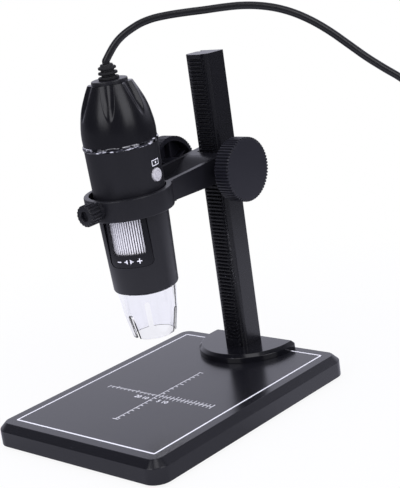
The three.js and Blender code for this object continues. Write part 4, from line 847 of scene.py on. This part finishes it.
def carriage_body():
    """The sleeve round the column, the channelled arm, the pad and the ring, as one moulding."""
    half, clear_of_all = sleeve_width / 2, 20
    tilt = turned(droop, "X")
    ring_side = ring_inner - 2.7 - arm_reach
    low_end, top_end = [(tilt @ Vector((0, ring_side, z))).yz for z in (arm_low_at_ring, arm_top_at_ring)]
    sleeve_top = sleeve_high + sleeve_slope * sleeve_back
    side = [
        low_end, (0, sleeve_low), (sleeve_back, sleeve_low), (sleeve_back, sleeve_top), (0, sleeve_high), top_end,
    ]
    to_side = Matrix(((0, 0, 1, 0), (1, 0, 0, 0), (0, 1, 0, 0), (0, 0, 0, 1)))
    body = moved(prism(side, -half, half), to_side)
    back = [e for e in body.edges if all(v.co.y > sleeve_back - 0.001 for v in e.verts)]
    bevelled(body, [e for e in back if abs(e.verts[0].co.z - e.verts[1].co.z) > 1], sleeve_corner, 8)
    floor = arm_top_at_ring - 4.1
    ramp = []
    for i in range(25):
        share = i / 24
        y = ramp_start + (ramp_end - ramp_start) * share
        ramp_top = sleeve_high - 0.05 + (sleeve_slope - math.tan(droop)) * y
        ramp.append((y, floor + (ramp_top - floor) * share * share * (3 - 2 * share)))
    hollow = [(ring_side + 1, floor), *ramp, (ramp_end, 12), (ring_side + 1, 12)]
    channel = moved(prism(hollow, arm_wall - half, half - arm_wall), tilt @ to_side)
    ring_profile = [
        (ring_inner - 2, ring_low), (ring_outer - 0.6, ring_low), (ring_outer - 0.15, ring_low + 0.2),
        (ring_outer, ring_low + 0.6), (ring_outer, ring_top - 0.5), (ring_outer - 0.15, ring_top - 0.15),
        (ring_outer - 0.5, ring_top), (ring_inner - 2, ring_top),
    ]
    front = shift(0, 0, clamp_height) @ to_front
    pad = block((-pad_half_width, ring_side + arm_reach, ring_low), (pad_half_width, pad_back, ring_top - 0.05))
    boss = moved(rod(boss_radius, ring_inner + 0.6, ring_outer + boss_height), front)
    ring_place = tilt @ shift(0, -arm_reach, 0)
    ring = moved(carved(lathe(ring_profile, 128), joined=[boss, pad]), ring_place)
    bore = moved(rod(ring_inner, -clear_of_all, clear_of_all, 128), ring_place)
    hole = moved(rod(stud_room, 0, 30, 32), ring_place @ front)
    column_bore = block((-column_width / 2 - running_gap, bore_front_y - shaft_y, -clear_of_all),
                        (column_width / 2 + running_gap, bore_back_y - shaft_y, clear_of_all))
    rack_bore = block((-rack_bore_half, rack_bore_front_y - shaft_y, -clear_of_all),
                      (rack_bore_half, 5, clear_of_all))
    axle = [(0, -clear_of_all)]
    for radius, end in ((hub_room, -hub_depth), (shaft_room, -gear_half), (gear_room, gear_half),
                        (shaft_room, hub_depth), (hub_room, clear_of_all)):
        axle += [(radius, axle[-1][1]), (radius, end)]
    axle_bore = moved(lathe([*axle, (0, clear_of_all)], 48), to_right)
    return carved(body, joined=[ring], cut=[bore, hole, channel, column_bore, rack_bore, axle_bore])


piece(soften(carriage_body(), 0.25), "carriage", satin_black, "carriage", carriage_place,
      replaces=("carriage_arm",))


# Lift knobs and clamp knob

def ribbed(bm, ribs, depth, low, high, groove=0.45):
    """Presses straight grooves into the rim of a turned piece between two heights."""
    outer = max(v.co.xy.length for v in bm.verts)
    for v in bm.verts:
        radius = v.co.xy.length
        if radius > outer - 1.2 and low - 0.001 <= v.co.z <= high + 0.001:
            share = (math.atan2(v.co.y, v.co.x) * ribs / FULL_TURN) % 1
            away = abs(share - 0.5) * 2
            press = depth * min(max((1 - away / groove) * 2, 0), 1)
            v.co.xy *= (radius - press) / radius
    return bm


def lift_knob():
    """A ribbed knob with a flat face, a hollow back with webs, and a hub."""
    top, inside = knob_thickness, knob_radius - 2.2
    profile = [
        (0, top),
        (knob_radius - 0.9, top), (knob_radius - 0.55, top - 0.1), (knob_radius - 0.15, top - 0.3),
        (knob_radius, top - 0.6), (knob_radius, 0.15), (knob_radius - 0.15, 0), (inside + 0.15, 0),
        (inside, 0.15), (inside, knob_floor), (knob_hub_radius, knob_floor), (knob_hub_radius, knob_hub_end),
        (shaft_room, knob_hub_end), (shaft_room, knob_bore_end),
        (0, knob_bore_end),
    ]
    bm = ribbed(lathe(profile, knob_ribs * 8), knob_ribs, knob_rib_depth, 0, top)
    webs = []
    for i in range(knob_webs):
        web = block((knob_hub_radius - 0.2, -0.4, 1.6), (inside + 0.2, 0.4, knob_floor + 0.2))
        webs.append(moved(web, turned(i * FULL_TURN / knob_webs, "Z")))
    return joined_meshes(bm, *webs)


for turn, name in ((0, "right"), (FULL_TURN / 2, "left")):
    place = carriage_place @ turned(turn, "Z") @ shift(knob_inner_x, 0, 0) @ to_right
    piece(lift_knob(), f"lift_knob_{name}", charcoal, "pinion", place, replaces=(f"knob_{name}",))


def clamp_grip():
    """The small ribbed knob of the clamp screw, with a round hollow in its end."""
    low, high, r = clamp_gap, clamp_gap + clamp_length, clamp_radius
    profile = [
        (0, low), (r - 0.7, low), (r - 0.1, low + 0.35), (r, low + 0.8), (r, high - 0.8), (r - 0.1, high - 0.35),
        (r - 0.7, high), (2.3, high), (2.1, high - 0.2), (2.1, high - 1.6), (0, high - 1.6),
    ]
    return ribbed(lathe(profile, clamp_ribs * 12), clamp_ribs, 0.5, low + 0.3, high - 0.3, groove=0.55)


clamp_place = arm_place @ shift(0, -arm_reach - ring_outer - boss_height, clamp_height) @ to_front
piece(clamp_grip(), "clamp_grip_piece", satin_black, "clamp_grip", clamp_place, replaces=("clamp_knob",))


# Microscope

def barrel_radius(height):
    if height > ring_top:
        share = (height - ring_top) / (barrel_top - ring_top)
        return barrel_middle_radius + share * (barrel_top_radius - barrel_middle_radius)
    share = (ring_top - height) / (ring_top - barrel_end)
    return barrel_middle_radius - share * (barrel_middle_radius - barrel_end_radius)


def front_block(size, corner, top, near_y):
    """A block with round corners that faces the window's side."""
    solid = prism(rounded_outline(*size, corner), near_y, 40)
    return moved(solid, turned(window_turn, "Z") @ shift(0, 0, top - size[1] / 2) @ to_front)


def window_hole():
    return front_block(window_size, window_corner, window_top, 8)


def barrel_body():
    """The barrel with its sunk field, its window and the button's hole."""
    end, r = barrel_end, barrel_end_radius
    profile = [
        (12.5, end), (r - 0.8, end), (r - 0.25, end + 0.2), (r, end + 0.8), (barrel_middle_radius, ring_top),
        (barrel_top_radius, barrel_top), (bore_radius, barrel_top), (bore_radius, -24), (7.4, -24), (7.4, -26),
        (11.5, -26), (11.5, -35), (12.5, -35),
    ]
    field = curved_slab(field_radius, 40, field_size, field_corner, field_top)
    button_hole = moved(rod(button_radius + 0.2, 0, 40), shift(0, 0, button_height) @ to_right)
    return carved(lathe(profile, 192), cut=[window_hole(), field, button_hole])


field_radius = barrel_radius(field_top - field_size[1] / 2) - field_depth


def curved_slab(inside, outside, size, corner, top):
    """The part of a round wall that lies behind a rounded rectangle on the window's side."""
    wall = lathe([(inside, top - 40), (outside, top - 40), (outside, top + 20), (inside, top + 20)], 192)
    return solved(wall, [("INTERSECT", front_block(size, corner, top, 0))])


def window_panel():
    """The thin glossy panel in the sunk field, round the window."""
    size = (field_size[0] - 2 * panel_gap, field_size[1] - 2 * panel_gap)
    panel = curved_slab(field_radius - 0.02, field_radius + panel_proud, size, 2.5, field_top - panel_gap)
    return carved(panel, cut=[window_hole()])


def chrome_band():
    low, high, r = barrel_top, barrel_top + chrome_height, chrome_radius
    profile = [
        (13.5, low), (barrel_top_radius, low), (r - 0.1, low + 0.4), (r, (low + high) / 2), (r - 0.1, high - 0.4),
        (barrel_top_radius - 0.1, high), (13.5, high),
    ]
    return lathe(profile, 192)


tail_shares = [(0, 0.99), (0.16, 1), (0.35, 0.92), (0.61, 0.685), (0.83, 0.33), (1, 0)]


def tail_line():
    """The tail's outside from the chrome band to its rim, as (radius, height)."""
    reach = barrel_top_radius - tail_rim
    points = [Vector((tail_rim + share * reach, 0, tail_low + height * tail_height))
              for height, share in tail_shares]
    return [(p.x, p.z) for p in smooth_line(points, 12)]


def tail_body():
    """The tail with its spear-shaped flutes pressed into a fine turned shell."""
    outer = tail_line()
    inner = [
        (4.5, tail_top), (4.5, tail_top - 2.4), (7.2, tail_top - 4.8),
        (11.6, tail_low + 12), (13.5, tail_low + 5), (13.5, tail_low),
    ]
    bm = lathe([*outer, *inner], 432)
    bottom = tail_top - flute_share * tail_height
    for v in bm.verts:
        radius = v.co.xy.length
        share = min(max((v.co.z - bottom) / (tail_top - bottom), 0), 1)
        near = min(abs(radius - r) + abs(v.co.z - z) for r, z in outer)
        if share > 0 and near < 0.01:
            fullness = math.sqrt(1 - (1 - share) ** 2)
            half = max(fullness * flute_width / 2, 0.05)
            sink = flute_depth * min(share * 2.2, 1)
            lobe = FULL_TURN / flute_count
            turn = (math.atan2(v.co.y, v.co.x) - flute_turn + lobe / 2) % lobe - lobe / 2
            across = abs(turn * radius) / half
            if across < 1:
                v.co.xy *= (radius - sink * (1 - across**2)) / radius
    return bm


def end_plate():
    """The round plate in the tail's rim, open in the middle for the strain relief."""
    r, top = disc_radius, disc_top
    profile = [(3.2, tail_top), (r, tail_top), (r, top - 0.4), (r - 0.15, top - 0.1), (r - 0.5, top), (3.2, top)]
    return lathe(profile, 128)


def relief_body():
    """The rubber strain relief: three rings on a neck."""
    neck = relief_neck
    profile = [(0, tail_top - 1.6), (4.2, tail_top - 1.6), (4.2, tail_top - 0.3), (neck, tail_top - 0.3)]
    for index, r in enumerate(relief_radii):
        low = disc_top + index * relief_pitch
        high = low + relief_ring
        profile += [(neck, low + 0.02), (r - 0.25, low + 0.02), (r, low + 0.25), (r, high - 0.25), (r - 0.25, high),
                    (neck, high + 0.1)]
    return lathe([*profile, (neck - 0.3, relief_top), (0, relief_top)], 64)


def focus_drum():
    """The silver focus drum with fine ribs that a finger turns."""
    low, high, r = drum_low, drum_high, drum_radius
    profile = [
        (11, low), (r - 0.3, low), (r, low + 0.3), (r, high), (11, high), (11, -12.3), (7.4, -12.3), (7.4, -14.1),
        (11, -14.1),
    ]
    return ribbed(lathe(profile, drum_ribs * 8), drum_ribs, drum_rib_depth, low, high, groove=0.5)


def button_cap():
    """The round button with a slightly domed face and a ring pressed into it."""
    r, face = button_radius, button_face
    profile = [
        (0, 11.6), (3.8, 11.6), (3.8, 12.3), (r, 12.3), (r, face - 0.45), (r - 0.12, face - 0.2),
        (r - 0.4, face - 0.08), (2.05, face - 0.05), (1.95, face - 0.25), (1.55, face - 0.25), (1.45, face - 0.03),
        (0, face),
    ]
    return moved(lathe(profile, 96), shift(0, 0, button_height) @ to_right)


def hood_body():
    """The clear hood: a tenon, then a cone in two slopes to an open mouth with three slots."""
    top, bend, mouth, wall = hood_top, hood_bend, hood_mouth, hood_wall
    tenon, bend_radius, mouth_radius = 12.2, hood_bend_radius, hood_mouth_radius
    profile = [
        (tenon - wall, top + hood_tenon), (tenon - wall, top - 0.6), (bend_radius - wall, bend),
        (mouth_radius - wall, mouth + 0.2), (mouth_radius - wall + 0.2, mouth), (mouth_radius - 0.2, mouth),
        (mouth_radius, mouth + 0.2), (bend_radius, bend), (hood_top_radius, top - 0.2),
        (hood_top_radius - 0.2, top), (tenon, top), (tenon, top + hood_tenon),
    ]
    half = slot_width / 2
    round_height = mouth + slot_height - half
    slots = []
    for i in range(slot_count):
        turn = turned(slot_turn + i * FULL_TURN / slot_count, "Z")
        slots.append(moved(block((0.1, -half, mouth - 5), (20, half, round_height)), turn))
        slots.append(moved(rod(half, 0.1, 20, 48), turn @ shift(0, 0, round_height) @ to_right))
    return soften(carved(lathe(profile, 144), cut=slots), 0.07, 1, 50)


def wrapped(bm, turn, field=None):
    """Lays a flat mark on the barrel, or on the floor of its sunk field: across becomes round it, up stays up."""
    for v in bm.verts:
        across, height, proud = v.co
        radius = (field or barrel_radius(height)) + proud
        angle = turn + across / radius
        v.co = (radius * math.cos(angle), radius * math.sin(angle), height)
    return bm


def flat_bar(x0, y0, x1, y1, parts=8):
    """A thin upright rectangle, cut across so that it can bend round the barrel."""
    bm = block((x0, y0, 0), (x1, y1, print_height))
    across = [e for e in bm.edges if abs(e.verts[0].co.x - e.verts[1].co.x) > 0.001]
    bmesh.ops.subdivide_edges(bm, edges=across, cuts=parts - 1, use_grid_fill=True)
    return bm


def picture_sign():
    """A plain outline of a picture frame with a round dot, above the button."""
    middle, wide, high, line = 15.9, 2.5, 1.3, 0.34
    low_y, high_y = middle - high, middle + high
    parts = [
        flat_bar(-wide, low_y, wide, low_y + line),
        flat_bar(-wide, high_y - line, wide, high_y),
        flat_bar(-wide, low_y + line, line - wide, high_y - line, 1),
        flat_bar(wide - line, low_y + line, wide, high_y - line, 1),
        moved(rod(0.5, 0, print_height, 32), shift(0, middle, 0)),
    ]
    return wrapped(joined_meshes(*parts), math.radians(2.5))


def focus_sign():
    """A minus, two arrow heads and a plus, under the window."""
    y, half = -24, 0.22
    left, right = 4.8 - half, 4.8 + half
    parts = [flat_bar(-5.7, y - half, -3.7, y + half), flat_bar(3.7, y - half, 5.9, y + half),
             flat_bar(left, y + half, right, y + 1.1, 1), flat_bar(left, y - 1.1, right, y - half, 1)]
    for side in (1, -1):
        parts.append(prism([(side * 2.2, y), (side * 0.6, y + side), (side * 0.6, y - side)], 0, print_height))
    return wrapped(joined_meshes(*parts), window_turn - math.radians(91.5), field_radius + panel_proud)


for make, name, material, body, slot, *nodes in (
    (barrel_body, "barrel", satin_black, "microscope", "black", "main_barrel"),
    (window_panel, "window_panel", gloss_black, "microscope", "black"),
    (picture_sign, "button_mark", print_white, "microscope", "black"),
    (focus_sign, "focus_mark", print_white, "microscope", "black"),
    (chrome_band, "chrome_band", chrome, "microscope", "chrome", "chrome_ring"),
    (tail_body, "tail", tail_black, "microscope", "black", "tail_housing"),
    (end_plate, "end_plate", satin_black, "microscope", "black", "end_disc"),
    (relief_body, "relief", soft_rubber, "microscope", "rubber", "strain_relief"),
    (focus_drum, "focus_drum", silver_plastic, "focus", "silver", "focus_ring"),
    (button_cap, "button_cap", button_silver, "button", "silver", "snap_button"),
    (hood_body, "hood_shell", clear, "hood", "clear", "nose_hood"),
):
    piece(make(), name, material, body, scope_place, nodes)


# CAD nodes that stay as they are, with their finish

kept_finishes = {
    satin_black: ["bottom_cover", "spacer_tube", "lens_barrel"],
    plain_steel: ["ballast_plate", "pinion_shaft", "clamp_stud", "column_screw_1", "column_screw_2",
                  *[f"cover_screw_{i}" for i in range(1, 5)]],
    natural_nylon: ["sleeve_liner", "focus_retainer"],
    board_green: ["sensor_board", "main_board", "led_board"],
    chip_black: ["sensor_chip", "button_switch"],
    lamp_white: [f"led_{i}" for i in range(1, 9)],
    lens: ["front_lens"],
}
for material, names in kept_finishes.items():
    for name in names:
        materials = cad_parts[name].data.materials
        materials.clear()
        materials.append(material)

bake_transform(cord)


# Floor, lamps and world

def studio_floor():
    """A white floor that shows the camera a bright background, keeps a soft shadow and is uneven in reflections."""
    bm = bmesh.new()
    bmesh.ops.create_grid(bm, x_segments=1, y_segments=1, size=12)
    floor = linked("floor", plain_mesh(bm, "floor"))
    material = bpy.data.materials.new("floor_white")
    material.use_nodes = True
    tree = material.node_tree
    tree.nodes.clear()
    ray = node(tree, "ShaderNodeLightPath").outputs
    place = position(tree)
    away = vector_node(tree, "LENGTH", place)
    seen = math_node(tree, "MAXIMUM", ray["Is Camera Ray"], ray["Is Transmission Ray"])
    share = math_node(tree, "MULTIPLY", seen, ranged(tree, away, 0.12, 0.3, 0.9, 1.0))
    plain = node(tree, "ShaderNodeBsdfDiffuse", [("Color", (0.75, 0.75, 0.78, 1))])
    bright = node(tree, "ShaderNodeEmission", [("Color", (1, 1, 1, 1)), ("Strength", 1.0)])
    shown = node(tree, "ShaderNodeMixShader", [(0, share), (1, plain.outputs[0]), (2, bright.outputs[0])])
    right = vector_node(tree, "DOT_PRODUCT", vector_node(tree, "NORMALIZE", place), (0.54, 0.84, 0))
    side = ranged(tree, right, 0.45, 0.9, 0.0, 1.0)
    rise = ranged(tree, away, 0.08, 0.16, 0.5, 1.0)
    near = math_node(tree, "MULTIPLY", rise, ranged(tree, away, 0.17, 0.29, 1.0, 0.22))
    level = mix_values(tree, side, near, ranged(tree, away, 0.3, 0.42, 0.85, 0.1))
    mirrored = node(tree, "ShaderNodeEmission", [("Color", reflected_tint), ("Strength", level)])
    through = math_node(tree, "SUBTRACT", 1.0, ray["Is Transmission Ray"])
    glossy = math_node(tree, "MULTIPLY", ray["Is Glossy Ray"], through)
    mix = node(tree, "ShaderNodeMixShader", [(0, glossy), (1, shown.outputs[0]), (2, mirrored.outputs[0])])
    node(tree, "ShaderNodeOutputMaterial", [("Surface", mix.outputs[0])])
    floor.data.materials.append(material)


reflected_tint = (0.94, 0.94, 1.1, 1)


def area_lamp(name, place, target_height, size, power):
    data = bpy.data.lights.new(name, "AREA")
    data.shape = "RECTANGLE"
    data.size, data.size_y = size
    data.energy = power
    data.color = (0.95, 0.95, 1)
    lamp = linked(name, data)
    lamp.location = place
    lamp.rotation_mode = "QUATERNION"
    lamp.rotation_quaternion = (Vector((0, 0, target_height)) - Vector(place)).to_track_quat("-Z", "Y")


def studio_world():
    """White for the camera and for glass; in reflections the back is bright and the front is dim."""
    world = bpy.data.worlds.new("studio")
    bpy.context.scene.world = world
    world.use_nodes = True
    tree = world.node_tree
    tree.nodes.clear()
    ray = node(tree, "ShaderNodeLightPath").outputs
    way = node(tree, "ShaderNodeTexCoord").outputs["Generated"]
    back = vector_node(tree, "DOT_PRODUCT", way, (-0.46, 0.85, 0.25))
    height = node(tree, "ShaderNodeSeparateXYZ", [(0, way)]).outputs["Z"]
    haze = ranged(tree, height, 0.03, 0.12, 0.3, 1.0)
    sky = math_node(tree, "MULTIPLY", haze, ranged(tree, height, 0.4, 0.7, 1.0, 0.3))
    glossy = math_node(tree, "MULTIPLY", ranged(tree, back, 0.1, 0.7, 0.05, 1.0), sky)
    seen = math_node(tree, "MAXIMUM", ray["Is Camera Ray"], ray["Is Transmission Ray"])
    soft = mix_values(tree, ray["Is Glossy Ray"], 0.95, glossy)
    tint = mix_colours(tree, seen, reflected_tint, (1, 1, 1, 1))
    links = [("Color", tint), ("Strength", mix_values(tree, seen, soft, 1.0))]
    shade = node(tree, "ShaderNodeBackground", links)
    node(tree, "ShaderNodeOutputWorld", [("Surface", shade.outputs[0])])


studio_floor()
studio_world()
area_lamp("key_lamp", (0.33, -0.3, 1.0), 0.08, (0.4, 0.4), 0.7)
area_lamp("front_lamp", (0.015, -0.875, 0.615), 0.13, (0.55, 0.75), 3.0)
area_lamp("right_lamp", (0.871, -0.076, 0.615), 0.13, (0.55, 0.75), 3.0)
area_lamp("top_lamp", (0, 0.2, 1.3), 0.05, (1.4, 1.4), 1.5)
